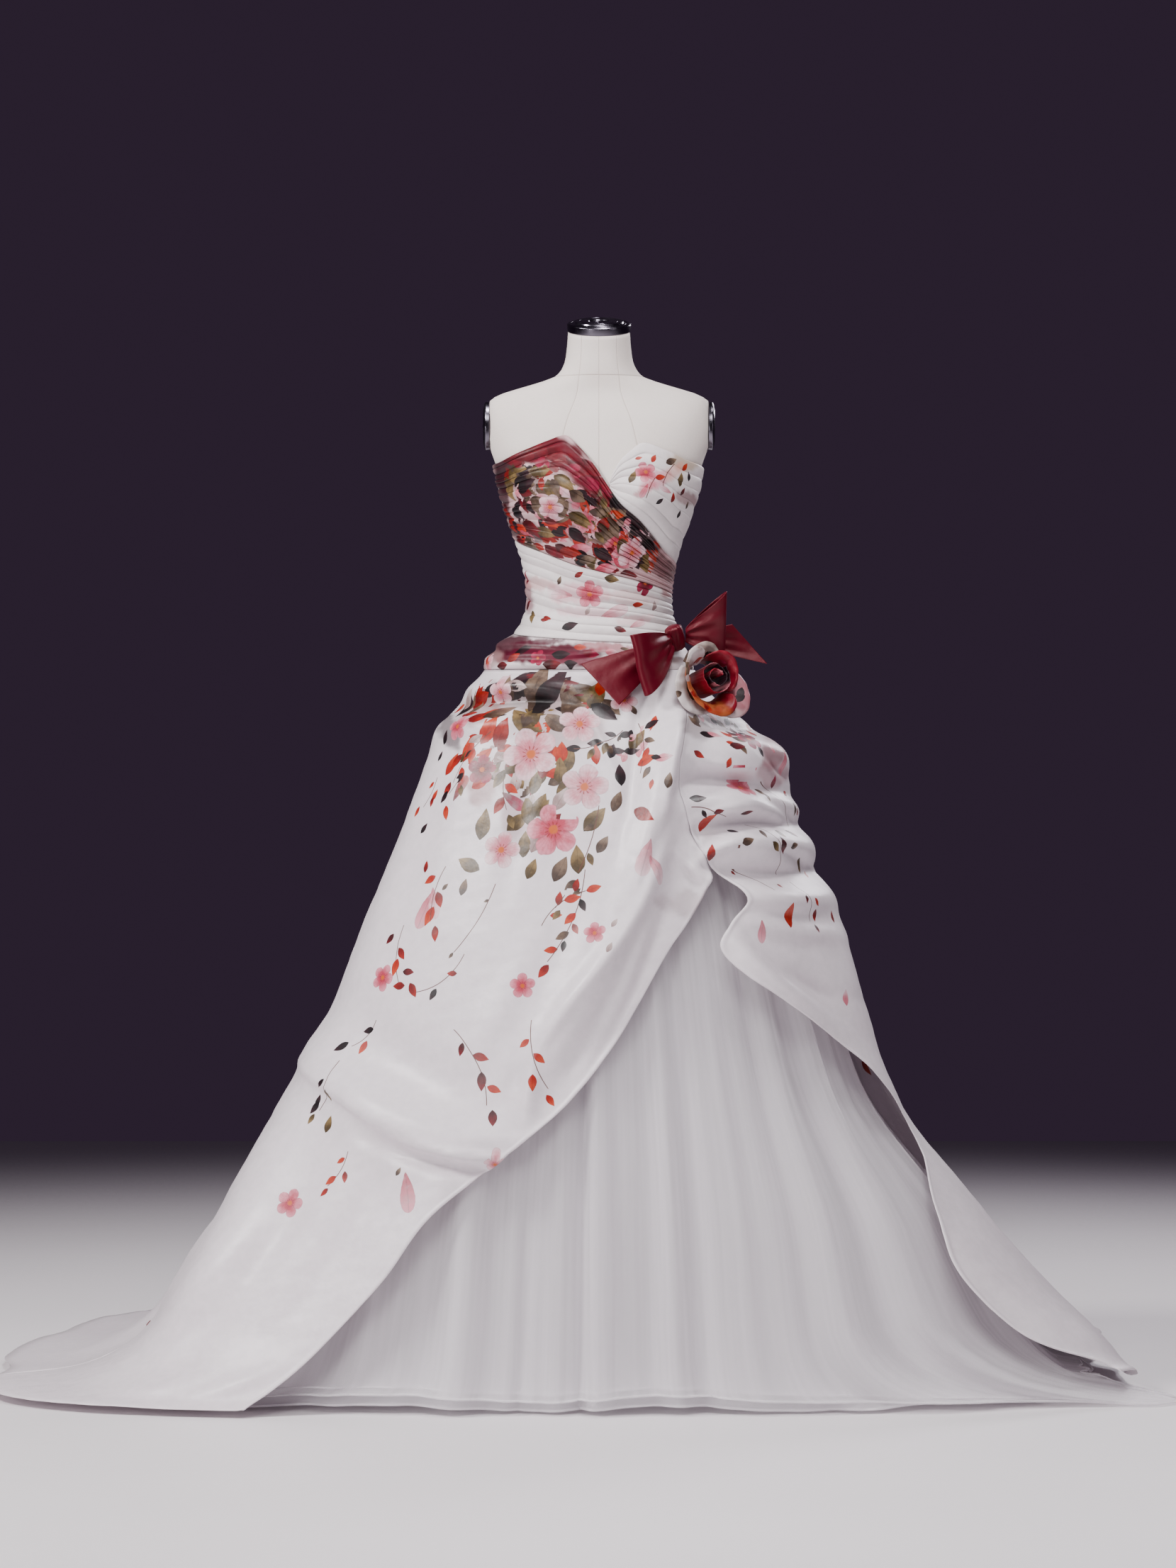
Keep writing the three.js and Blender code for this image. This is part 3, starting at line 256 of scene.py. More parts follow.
SKIRT_WASHES = [
    (-96, 1052, 86, 26, 0, (140, 120, 112), 0.55), (-62, 1010, 66, 46, 0, (192, 166, 168), 0.6),
    (-180, 1030, 40, 20, 26, (156, 104, 96), 0.5), (-120, 940, 44, 30, 0, (171, 152, 136), 0.45),
    (-226, 1000, 16, 30, 20, (76, 40, 52), 0.7), (-110, 872, 40, 36, 0, (195, 166, 172), 0.5),
    (-176, 920, 22, 34, 0, (164, 72, 72), 0.5), (148, 1004, 24, 18, -30, (120, 96, 96), 0.5),
    (262, 968, 20, 26, 0, (156, 48, 72), 0.65), (262, 932, 26, 22, 0, (192, 144, 152), 0.6),
    (150, 745, 60, 20, 0, (196, 180, 184), 0.5),
]
# Marks: kind, place, turn, length, ink.
CUP_MARKS = [
    (BLOSSOM, 72, 1392, 40, 36, PINK), (LEAF, 50, 1384, 70, 22, OLIVE), (LEAF, 96, 1384, 10, 18, ORANGE),
    (LEAF, 86, 1410, 60, 16, ORANGE), (LEAF, 112, 1408, 20, 22, TAUPE), (LEAF, 126, 1376, 75, 22, OLIVE),
    (LEAF, 134, 1398, 40, 16, ORANGE), (LEAF, 116, 1350, 80, 17, BRICK), (PETAL, 104, 1362, 170, 24, BLUSH),
    (LEAF, 94, 1340, 30, 15, PLUM), (LEAF, 130, 1356, 50, 14, WINE), (STEM, 108, 1386, 50, 44, 0),
    (LEAF, 124, 1322, 70, 14, PLUM), (LEAF, 136, 1338, 40, 14, TAUPE), (STEM, 84, 1364, 60, 36, 0),
    (LEAF, 140, 1380, 85, 15, PLUM), (PETAL, 70, 1362, 240, 24, PINK), (LEAF, 62, 1412, 20, 12, ORANGE),
]
WAIST_MARKS = [
    (BLOSSOM, -14, 1204, 20, 44, PINK), (LEAF, 22, 1226, -10, 24, OLIVE), (LEAF, 62, 1186, -5, 18, ORANGE),
    (LEAF, -44, 1162, 16, 27, PLUM), (LEAF, 36, 1154, -16, 20, WINE), (LEAF, -84, 1170, -30, 18, BRICK),
    (PETAL, -60, 1206, 170, 34, BLUSH), (PETAL, 26, 1180, 20, 44, BLUSH), (LEAF, -20, 1176, 60, 14, DOVE),
    (LEAF, -112, 1190, 60, 20, WINE), (LEAF, -104, 1174, -70, 22, OLIVE), (LEAF, 80, 1220, 20, 18, TAUPE),
    (LEAF, 88, 1190, 84, 16, DOVE), (LEAF, -120, 1226, 70, 22, MAGENTA), (LEAF, -64, 1226, 70, 14, TAUPE),
    (PETAL, 60, 1164, 30, 28, BLUSH), (BLOSSOM, 84, 1234, 10, 30, MAGENTA), (LEAF, -34, 1232, 30, 16, BRICK),
]
BAND_MARKS = [
    (BLOSSOM, -172, 1104, 0, 34, BLUSH), (LEAF, -150, 1096, 10, 24, WINE),
    (BLOSSOM, -94, 1112, 0, 26, MAGENTA), (LEAF, -116, 1124, 4, 30, PLUM),
    (LEAF, -60, 1118, -6, 30, PLUM), (LEAF, -30, 1128, 0, 20, ORANGE),
    (LEAF, -10, 1112, -8, 26, MAGENTA), (LEAF, 22, 1118, -4, 22, BLUSH), (LEAF, -132, 1112, 20, 26, BRICK),
    (LEAF, -74, 1102, -2, 30, WINE), (LEAF, -44, 1104, -8, 22, PLUM), (LEAF, 40, 1126, 10, 16, TAUPE),
    (LEAF, 88, 1104, 20, 22, PINK), (LEAF, 150, 1100, 10, 20, TAUPE), (LEAF, -186, 1122, 60, 20, ORANGE),
]
SKIRT_MARKS = [
    (BLOSSOM, -106, 966, 40, 88, BLUSH), (BLOSSOM, -34, 1012, 12, 66, BLUSH),
    (BLOSSOM, -22, 922, 5, 76, BLUSH), (BLOSSOM, -70, 858, 30, 84, PINK), (BLOSSOM, -150, 826, 0, 60, BLUSH),
    (BLOSSOM, -178, 944, 10, 50, MAGENTA), (BLOSSOM, -214, 1010, 0, 44, PINK),
    (BLOSSOM, -150, 1052, 30, 42, BLUSH), (BLOSSOM, 40, 1048, 0, 46, BLUSH),
    (PETAL, -130, 900, -40, 44, MAGENTA), (PETAL, -212, 916, 60, 44, BRICK), (LEAF, -124, 868, 40, 44, OLIVE),
    (LEAF, -84, 1050, 70, 52, TAUPE), (LEAF, -52, 1076, 60, 42, PLUM), (LEAF, 20, 1038, -50, 40, TAUPE),
    (LEAF, -112, 1070, 30, 46, PLUM), (LEAF, -140, 1062, 20, 44, OLIVE), (LEAF, -100, 1030, 100, 44, OLIVE),
    (LEAF, -168, 1060, 30, 36, PLUM), (LEAF, -48, 960, 76, 46, OLIVE), (LEAF, -10, 872, 50, 50, OLIVE),
    (LEAF, -66, 930, 30, 34, TAUPE), (LEAF, -176, 864, 84, 50, OLIVE), (LEAF, -8, 968, 100, 32, ORANGE),
    (LEAF, -194, 806, 150, 44, OLIVE), (LEAF, -232, 880, -60, 26, ORANGE), (LEAF, -148, 968, 60, 40, DOVE),
    (LEAF, 56, 990, 66, 40, OLIVE), (LEAF, 36, 936, 84, 36, PLUM), (LEAF, 24, 900, 70, 34, TAUPE),
    (LEAF, 66, 960, 10, 36, ORANGE), (LEAF, 62, 880, -30, 42, BRICK), (LEAF, 78, 1016, 90, 24, ORANGE),
    (LEAF, 92, 964, 0, 30, BLUSH), (LEAF, 40, 1000, 20, 24, PLUM), (LEAF, 100, 930, 80, 26, TAUPE),
    (LEAF, -100, 1062, 80, 74, TAUPE), (LEAF, -76, 1052, 50, 66, PLUM), (LEAF, -48, 1046, 110, 62, TAUPE),
    (LEAF, -130, 1058, 40, 60, PLUM), (LEAF, -2, 1060, 70, 56, OLIVE), (LEAF, -152, 1030, 20, 56, TAUPE),
    (LEAF, -182, 1046, 30, 46, BRICK), (LEAF, -118, 1020, 120, 58, OLIVE), (LEAF, -70, 1016, 140, 52, TAUPE),
    (LEAF, 10, 1032, -40, 50, PLUM), (LEAF, -26, 1066, 10, 46, TAUPE), (LEAF, -170, 1004, 60, 50, ORANGE),
    (LEAF, -198, 976, 80, 46, ORANGE), (LEAF, -150, 996, 70, 50, BRICK), (LEAF, -224, 950, 50, 40, ORANGE),
    (LEAF, -236, 990, 70, 24, PLUM), (LEAF, -244, 962, 60, 18, PLUM), (LEAF, -196, 1030, 20, 34, BRICK),
    (LEAF, -216, 1034, 40, 28, ORANGE), (LEAF, -60, 800, 66, 44, TAUPE), (LEAF, -36, 812, 96, 46, OLIVE),
    (LEAF, -102, 800, 70, 34, OLIVE), (LEAF, 4, 836, 60, 32, TAUPE), (LEAF, -204, 768, 80, 28, TAUPE),
    (LEAF, -250, 906, 60, 20, ORANGE), (LEAF, -266, 856, 40, 20, PLUM), (LEAF, -262, 800, 100, 20, BRICK),
    (PETAL, -262, 736, 250, 62, PINK), (PETAL, -246, 748, 290, 52, BLUSH), (LEAF, -232, 770, 40, 14, TAUPE),
    (BLOSSOM, -328, 634, 60, 44, PINK), (BLOSSOM, -118, 628, 20, 40, PINK), (PETAL, -286, 326, -76, 62, PINK),
    (LEAF, -300, 356, 60, 15, TAUPE), (BLOSSOM, -462, 300, 70, 46, PINK), (BLOSSOM, -148, 356, 20, 36, BLUSH),
    (BLOSSOM, -10, 706, 20, 36, PINK), (LEAF, 18, 722, 60, 16, DOVE), (LEAF, 12, 688, 70, 18, DOVE),
    (BLOSSOM, 214, 918, 0, 54, PINK), (LEAF, 246, 910, 0, 22, TAUPE), (LEAF, 150, 902, 10, 28, PLUM),
    (LEAF, 160, 862, 60, 38, ORANGE), (LEAF, 220, 872, -20, 22, WINE), (LEAF, 170, 818, 80, 26, BRICK),
    (LEAF, 226, 836, 30, 26, TAUPE), (LEAF, 294, 846, -50, 26, WINE), (LEAF, 268, 824, -30, 24, OLIVE),
    (PETAL, 74, 812, 250, 58, BLUSH), (PETAL, 90, 800, 300, 48, BLUSH), (PETAL, 246, 700, 270, 34, PINK),
    (LEAF, 286, 728, 70, 38, ORANGE), (LEAF, 316, 782, 60, 16, ORANGE), (LEAF, 356, 720, 84, 20, BRICK),
    (LEAF, 148, 1020, 60, 26, TAUPE), (LEAF, 168, 996, 20, 30, PLUM), (LEAF, 186, 1012, -20, 24, OLIVE),
    (LEAF, 152, 966, -30, 20, BRICK), (BLOSSOM, 228, 990, 20, 46, MAGENTA), (LEAF, 206, 1000, 60, 24, WINE),
    (PETAL, 284, 950, 250, 44, PINK), (LEAF, 266, 920, 80, 22, MAGENTA), (LEAF, 196, 958, 60, 18, ORANGE),
    (LEAF, 374, 600, 84, 26, BLUSH), (LEAF, -422, 450, 80, 20, PLUM), (LEAF, -404, 420, 80, 28, OLIVE),
]
# Sprigs: foot, way, length, bend, leaves, their size, their inks.
SPRIGS = [
    (-236, 800, 262, 84, -8, 4, 30, (ORANGE, BRICK)), (-196, 664, 206, 104, 16, 3, 22, (BRICK, PLUM)),
    (-306, 716, 282, 90, -10, 5, 26, (WINE, BRICK, ORANGE)), (-330, 566, 216, 56, 6, 3, 26, (PLUM, ORANGE)),
    (-226, 560, 300, 126, 14, 5, 27, (WINE, BRICK, WINE, ORANGE)),
    (-104, 574, 284, 104, -10, 4, 24, (ORANGE,)), (-84, 716, 40, 84, 10, 5, 24, (ORANGE, BRICK)),
    (-26, 800, 250, 150, 12, 8, 23, (TAUPE, PLUM, ORANGE, BRICK)), (-160, 776, 240, 120, 8, 2, 12, (TAUPE,)),
    (-4, 900, 250, 170, 12, 4, 22, (TAUPE, OLIVE)),
    (-120, 1000, 262, 120, -16, 6, 30, (ORANGE, BRICK, OLIVE)),
    (-164, 1000, 230, 96, -8, 5, 28, (BRICK, ORANGE)), (-76, 1000, 204, 110, 12, 5, 26, (OLIVE, TAUPE, DOVE)),
    (-190, 990, 246, 90, 10, 5, 22, (PLUM, OLIVE)), (44, 1020, 290, 90, 8, 6, 22, (PLUM, TAUPE, ORANGE)),
    (40, 1010, 206, 80, 10, 5, 24, (PLUM, OLIVE)), (236, 914, -24, 90, 6, 4, 20, (TAUPE, BRICK)),
    (140, 884, -24, 60, 6, 3, 18, (PLUM, WINE)), (180, 790, -10, 90, 8, 2, 12, (BRICK,)),
    (230, 866, -40, 90, 8, 5, 24, (TAUPE, OLIVE, WINE)), (306, 770, -66, 60, 6, 4, 18, (WINE, ORANGE, BRICK)),
    (160, 1030, -40, 70, 8, 5, 22, (PLUM, TAUPE, WINE)), (-246, 930, 240, 50, 4, 3, 18, (ORANGE, BRICK)),
    (-410, 500, 256, 70, 6, 4, 22, (PLUM, OLIVE)), (-374, 380, 240, 60, 6, 4, 20, (ORANGE, BRICK)),
]
# Strewn marks in the front view: seed, count, ellipse, least and most length, least and most turn, inks,
# and the kind where they aren't leaves. The ellipse is its middle, half width, half height and tilt.
DARK = (PLUM, WINE, TAUPE, OLIVE, BRICK)
WRAP_STREWN = [
    (7, 9, (-20, 1310, 90, 40, -30), (30, 46), (0, 360), (BLUSH, PINK, BLUSH), BLOSSOM),
    (8, 30, (-124, 1300, 26, 66, 0), (20, 38), (-70, 30), (PLUM, WINE, PLUM, TAUPE, BRICK, CRIMSON)),
    (3, 24, (-90, 1414, 76, 13, -10), (26, 48), (-60, 20), (CRIMSON, MAGENTA, CRIMSON, WINE), PETAL),
    (9, 12, (-14, 1378, 50, 10, -42), (26, 44), (-60, -20), (CRIMSON, WINE, MAGENTA), PETAL),
    (4, 58, (-60, 1340, 96, 38, -30), (22, 42), (-80, 20), (TAUPE, OLIVE, BLUSH, *DARK)),
    (5, 46, (30, 1300, 84, 26, -42), (22, 44), (-90, 0), (PLUM, PLUM, TAUPE, OLIVE, BLUSH, ORANGE)),
    (6, 54, (-30, 1272, 100, 22, -16), (20, 38), (-60, 30), (ORANGE, PINK, CRIMSON, *DARK)),
]
SKIRT_STREWN = [
    (13, 40, (-100, 1050, 112, 24, 6), (28, 50), (-30, 120), (TAUPE, OLIVE, PLUM, DOVE, ORANGE, BRICK, WINE)),
    (14, 44, (-130, 966, 72, 50, 0), (26, 46), (20, 110), (ORANGE, BRICK, OLIVE, ORANGE, DOVE, OLIVE)),
    (18, 18, (-90, 886, 66, 40, 60), (30, 50), (40, 110), (OLIVE, TAUPE, DOVE, OLIVE, WINE)),
    (15, 14, (50, 1000, 40, 40, -60), (16, 30), (0, 120), (PLUM, TAUPE, ORANGE, BLUSH)),
    (16, 18, (200, 1000, 70, 20, -20), (16, 30), (0, 180), (PLUM, TAUPE, WINE, BLUSH, ORANGE)),
]
# The last marks on the wrap, over the others: place, turn, length.
WRAP_LAST = [
    (54, 1322, -50, 56), (64, 1292, -60, 50), (-104, 1298, -20, 48), (30, 1340, -44, 46),
    (-118, 1392, -40, 36),
]
# Strewn marks of the hidden side: seed, count, stretch across and down the cloth, sizes, inks and kind.
# The bodice's two back panels have a count each.
BODICE_BACK_STREWN = [
    (80, (5, 5), (0.1, 0.9), (0.1, 0.8), (30, 52), (BLUSH, PINK), BLOSSOM),
    (82, (26, 52), (0, 1), (0, 0.55), (20, 40), (*DARK, TAUPE, ORANGE)),
    (84, (10, 10), (0, 1), (0.5, 1), (14, 28), (*DARK, TAUPE, BLUSH)),
]
SKIRT_BACK_STREWN = [
    (92, 46, (0, 1), (0, 0.13), (28, 54), (*DARK, TAUPE, ORANGE, OLIVE)),
    (94, 7, (0.06, 0.94), (0.06, 0.22), (60, 92), (BLUSH, PINK, BLUSH), BLOSSOM),
    (96, 26, (0.02, 0.98), (0.12, 0.28), (24, 46), (ORANGE, OLIVE, TAUPE, BRICK, WINE)),
    (98, 12, (0.04, 0.96), (0.26, 0.5), (22, 40), (ORANGE, BRICK, PLUM, TAUPE)),
    (100, 6, (0.06, 0.94), (0.4, 0.85), (40, 60), (PINK, BLUSH), BLOSSOM),
    (102, 12, (0.05, 0.95), (0.5, 0.92), (18, 32), (ORANGE, BRICK, PLUM)),
]
# Inks of the marks on each of the rosette's petals.
PETAL_INKS = [
    (TAUPE, DOVE, ORANGE), (BRICK, ORANGE), (PLUM, MAGENTA), (TAUPE, OLIVE), (PLUM, WINE), (PLUM, TAUPE),
]

# Lamps: name, place and aim in metres, size, watts, colour.
CHEST, SKIRT = (0, 0, 1.1), (0, 0, 0.7)
LAMPS = [
    ("key", (-3.0, -1.7, 3.3), CHEST, 0.9, 165, (1.0, 0.975, 0.97)),
    ("top", (0.5, -1.0, 4.3), CHEST, 0.9, 84, (1.0, 0.97, 0.99)),
    ("fill", (3.4, -2.8, 1.5), SKIRT, 1.6, 16, (1.0, 0.94, 0.98)),
    ("low", (-2.4, -3.8, 0.9), (0.1, 0, 0.4), 1.0, 52, (1.0, 0.97, 0.98)),
    ("floor_front", (0.2, -2.6, 3.0), (0.1, -2.4, 0), 1.8, 62, (1.0, 0.98, 0.98)),
    ("back", (1.9, 3.0, 2.6), CHEST, 1.4, 60, (0.96, 0.92, 1.0)),
]


def make_camera():
    """The photo's view: 8 m in front of the gown, about chest high, tipped down a little."""
    data = bpy.data.cameras.new("camera")
    data.sensor_fit = "VERTICAL"
    data.sensor_height = 36
    data.lens = 120.55
    camera = bpy.data.objects.new("camera", data)
    camera.location = (-0.0167, -8.0, 1.05)
    camera.rotation_euler = (math.radians(90 - 0.95), 0, 0)
    bpy.context.scene.collection.objects.link(camera)
    bpy.context.scene.camera = camera


def smooth(x, low, high):
    """0 below low, 1 above high, and an S-curve between them."""
    t = np.clip((x - low) / (high - low), 0, 1)
    return t * t * (3 - 2 * t)


def lerp(a, b, t):
    """a where t is 0, b where it is 1, and a straight line between them."""
    return a + (b - a) * t


def grid(columns, rows):
    """Shares from 0 to 1 across and down a grid."""
    u, v = np.linspace(0, 1, columns)[:, None], np.linspace(0, 1, rows)[None, :]
    return u + 0 * v, v + 0 * u


def power(x, exponent):
    """A power that keeps the sign."""
    return np.sign(x) * np.abs(x) ** exponent


def along(rows, at):
    """A table's values at any keys: cubic pieces whose slopes are those of the rows on each side."""
    rows = np.array(rows, float)
    if rows[0, 0] > rows[-1, 0]:
        rows = rows[::-1]
    key, values = rows[:, 0], rows[:, 1:]
    at = np.clip(at, key[0], key[-1])
    last = len(key) - 1
    low, high = np.maximum(np.arange(last + 1) - 1, 0), np.minimum(np.arange(last + 1) + 1, last)
    slope = (values[high] - values[low]) / (key[high] - key[low])[:, None]
    i = np.clip(np.searchsorted(key, at, "right") - 1, 0, last - 1)
    step = (key[i + 1] - key[i])[..., None]
    t = (at - key[i])[..., None] / step
    found = (
        (2 * t**3 - 3 * t**2 + 1) * values[i] + (t**3 - 2 * t**2 + t) * step * slope[i]
        + (3 * t**2 - 2 * t**3) * values[i + 1] + (t**3 - t**2) * step * slope[i + 1]
    )
    return np.moveaxis(found, -1, 0)


def ridge(across, up, x1, y1, x2, y2, x3, y3, high, wide):
    """A bell across a bent line, fading out at its ends: how high it stands at each point."""
    nearest = np.full(np.shape(across), np.inf)
    share = np.zeros(np.shape(across))
    line = []
    for t in np.linspace(0, 1, RIDGE_STEPS + 1):
        a, b, c = (1 - t) ** 2, 2 * t * (1 - t), t * t
        line.append((a * x1 + b * x2 + c * x3, a * y1 + b * y2 + c * y3))
    for k, ((x, y), (to_x, to_y)) in enumerate(zip(line, line[1:])):
        run, rise = to_x - x, to_y - y
        on = np.clip(((across - x) * run + (up - y) * rise) / (run * run + rise * rise), 0, 1)
        gap = (across - x - on * run) ** 2 + (up - y - on * rise) ** 2
        closer = gap < nearest
        nearest = np.where(closer, gap, nearest)
        share = np.where(closer, (k + on) / RIDGE_STEPS, share)
    return high * np.exp(-nearest / wide**2) * (0.25 + 0.75 * np.sin(math.pi * share))


def on_section(angle, left, right, front, back, square):
    """Where a ray from the middle meets a rounded section, and the section's outward direction there.

    The section is a superellipse, |x/reach|^square + |y/depth|^square = 1, with its own reach and depth
    on each side, and the direction is that sum's slope.
    """
    sine, cosine = np.sin(angle), np.cos(angle)
    reach = np.where(sine > 0, right, left)
    depth = np.where(cosine > 0, front, back)
    radius = (np.abs(sine / reach) ** square + np.abs(cosine / depth) ** square) ** (-1 / square)
    x, y = radius * sine, -radius * cosine
    nx, ny = power(x / reach, square - 1) / reach, power(y / depth, square - 1) / depth
    length = np.hypot(nx, ny)
    return x, y, nx / length, ny / length


def form_point(angle, z):
    """The form's skin: a section at each height, pushed out by two Gaussian bells for the bust.

    Its sides are cut off flat at the armhole plates, and the neck's heights slope with their depth.
    """
    wide, front, back = along(FORM_SECTIONS, z)
    x, y, nx, ny = on_section(angle, wide, wide, front, back, FORM_SQUARE)
    away = ((np.abs(x) - CUP_X) / CUP_WIDE) ** 2 + ((z - CUP_Z) / CUP_WIDE) ** 2
    bust = CUP_HIGH * np.exp(-away) * smooth(-y, 0, CUP_FADE)
    x = np.clip(x + nx * bust * CUP_SIDEWAYS, -PLATE_FACE, PLATE_FACE)
    y = y + ny * bust
    tilt = smooth(z, NECK_SLOPE_FROM, NECK_TOP) * math.tan(NECK_TILT)
    return np.stack([x, y, z + y * tilt], -1)


def outward_at(angle):
    """The level direction away from the middle: the angle's sine to the right and its cosine to the front."""
    return np.stack([np.sin(angle), -np.cos(angle), np.zeros(np.shape(angle))], -1)


def bodice_point(angle, z):
    """The form's skin, flared out over the hips, more at the left."""
    out = smooth(-z, -FLARE_FROM, -FLARE_TO) * (8 + 16 * (0.5 - 0.5 * np.sin(angle)))
    return form_point(angle, z) + outward_at(angle) * out[..., None]


def flutes(rows, angle):
    """The sum of a few sine waves round a hem."""
    return sum(high * np.sin(count * angle + turn) for count, high, turn in rows)


def skirt_base(angle, fall):
    """The overskirt's sections with the long flutes of its back: place, direction, height, front, hang."""
    z, left, right, front, back, square = along(SKIRT_SECTIONS, fall)
    x, y, nx, ny = on_section(angle, left, right, front, back, square)
    ahead = smooth(np.cos(angle), -0.12, 0.2)
    hang = flutes(BACK_FLUTES, angle) * smooth(fall, 0.02, 0.9) * (1 - 0.85 * ahead)
    return x, y, nx, ny, z, ahead, hang


def inset_at(layer, fall):
    """How far a layer lies inside the overskirt: an S-curve from its top's value to its full one."""
    return lerp(layer["top"], layer["inset"], smooth(fall, 0, 0.14))


def turned_from(degrees, middle):
    """How far an angle lies from another, from -180 to 180 degrees."""
    return (degrees - middle + 180) % 360 - 180


def back_creases(angle, fall):
    """The height of the hidden sides' creases, each drawn round the angle of its own bend."""
    degrees, spread = turned_from(np.degrees(angle), 0), LAID_TOP + LAID_SPREAD * fall
    total = 0
    for a1, f1, a2, f2, a3, f3, high, wide in BACK_CREASES:
        starts, ends = math.radians(turned_from(a1, a2)), math.radians(turned_from(a3, a2))
        total = total + ridge(
            np.radians(turned_from(degrees, a2)) * spread, fall * LAID_LENGTH,
            starts * spread, f1 * LAID_LENGTH, 0 * spread, f2 * LAID_LENGTH,
            ends * spread, f3 * LAID_LENGTH, high, wide,
        )
    return total


def skirt_point(angle, fall, fine=0.0):
    """The overskirt's inside: its sections pushed in and out by flutes and by the drawn folds."""
    x, y, nx, ny, z, ahead, hang = skirt_base(angle, fall)
    drape = sum(ridge(x, z, *row) for row in MAIN_FOLDS)
    deepest = 0.6 if fine else 0.3
    out = hang + np.maximum(drape * ahead * (1 + 0.5 * fine), -deepest * inset_at(NET_LAYER, fall))
    if fine:
        out = out + 1.8 * fine * ahead * sum(ridge(x, z, *row) for row in FINE_FOLDS)
        uneven = angle + 0.05 * np.sin(6 * angle + 2) + 0.03 * np.sin(13 * angle)
        fullness = 0.65 + 0.35 * np.sin(9 * angle + 3 * fall)
        soft = flutes(BACK_FINE, uneven) * fullness * smooth(fall, 0.03, 0.6)
        out = out + fine * (1 - ahead) * (1.9 * back_creases(angle, fall) + soft)
    off = (np.degrees(angle) - CORNER_ANGLE) / CORNER_WIDE
    curl = CORNER_HIGH * np.exp(-off * off) * smooth(fall, CORNER_FROM, 1)
    lift = smooth(fall, HEM_FROM, 1) * (HEM_CLEAR + HEM_WAVE * flutes(BACK_FLUTES, angle + 0.2)) + curl
    return np.stack([x + nx * out, y + ny * out, z + lift], -1)


def under_point(layer, angle, fall, fine=(), inside=0.0, rise=0.0):
    """A layer under the overskirt: the same sections taken in, plus sine flutes that grow down the fall.

    The flutes' angle and height are made uneven by slower sines, and the hem's height is a sine as well.
    """
    x, y, nx, ny, z, _, hang = skirt_base(angle, UNDER_REACH * fall)
    shown = smooth(np.cos(angle), -0.4, 0.3)
    own = flutes(NET_FLUTES, angle) * smooth(fall, 0.03, 0.7) * shown
    uneven = angle + 0.04 * np.sin(7 * angle + 1) + 0.02 * np.sin(17 * angle)
    fullness = 0.6 + 0.4 * np.sin(11 * angle + 2.5 * fall + 1)
    own = own + flutes(fine, uneven) * fullness * smooth(fall, 0.05, 0.6) * shown
    out = hang * 0.9 + own - inset_at(layer, fall) - inside * smooth(fall, 0.02, 0.25)
    x, y = x + nx * out, y + ny * out
    share = np.minimum(1, layer["reach"] / np.hypot(x, y))
    hem = layer["hem"] + rise + layer["wave"] * np.sin(7 * angle)
    z = np.maximum(lerp(z - 1, hem, smooth(fall, 0.8, 1)), hem)
    return np.stack([x * share, y * share, z], -1)


def net_point(angle, fall, **options):
    """The outer net, which reaches out to a point on the floor at the right."""
    p = under_point(NET_LAYER, angle, fall, **options)
    off = np.degrees(angle) - NET_TRAIN["angle"]
    width = np.where(off > 0, NET_TRAIN["after"], NET_TRAIN["before"])
    share = np.exp(-((off / width) ** 2)) * smooth(fall, 0.88, 1)
    p[..., 0] += NET_TRAIN["reach"] * share
    p[..., 1] += NET_TRAIN["back"] * share
    p[..., 2] = lerp(p[..., 2], NET_TRAIN["high"], share)
    return p


def left_front(angle):
    """1 at the left front of the hip and 0 at the right back."""
    return smooth(-np.sin(angle - 0.5), -0.2, 0.9)


def hip_point(angle, down, tucks=0.0):
    """The band from the bodice's foot out to the overskirt's seam: a soft roll with a tuck at the left."""
    out = outward_at(angle)
    top = bodice_point(angle, along(WAIST_FOOT, np.degrees(angle))[0]) + out * ON_FORM
    foot = skirt_point(angle, np.zeros(np.shape(angle))) + np.array([0, 0, SEAM])
    left = left_front(angle)
    roll = (4 + 9 * left) * np.sin(math.pi * down) + 3 * left * np.sin(3 * math.pi * down)
    return lerp(top, foot, down[..., None]) + out * (roll + tucks)[..., None]


def angle_across(x, fall):
    """The angle at which the overskirt reaches a distance across, found by halving."""
    _, left, right, front, back, square = along(SKIRT_SECTIONS, fall)
    low = np.zeros(np.shape(fall))
    high = np.where(x > 0, OPENING_REACH[1], OPENING_REACH[0]) * np.ones(np.shape(fall))
    for _ in range(HALVINGS):
        middle = (low + high) / 2
        short = np.abs(on_section(middle, left, right, front, back, square)[0]) < np.abs(x)
        low, high = np.where(short, middle, low), np.where(short, high, middle)
    return low


def noise(a, b, seed, size):
    """Soft uneven bumps from -1 to 1: a sum of sine waves in directions drawn from a seed."""
    draw = np.random.default_rng(seed)
    total = 0
    for k in range(6):
        way, start = draw.uniform(0, FULL_TURN, 2)
        pitch = FULL_TURN / (size * (0.6 + 0.25 * k))
        total = total + np.sin((a * math.cos(way) + b * math.sin(way)) * pitch + start)
    return total / 6


def normals_of(points, closed, level=0.0):
    """The outward direction at each grid point: down crossed with across. Level 1 takes out its height."""
    if closed:
        across = np.roll(points, -1, 0) - np.roll(points, 1, 0)
    else:
        across = np.gradient(points, axis=0)
    normal = np.cross(np.gradient(points, axis=1), across)
    normal[..., 2] *= 1 - level
    return normal / np.linalg.norm(normal, axis=-1, keepdims=True)


def moved_out(points, out, closed=False, level=0.0):
    """Each point plus its outward direction times a distance."""
    return points + normals_of(points, closed, level) * np.broadcast_to(out, points.shape[:2])[..., None]


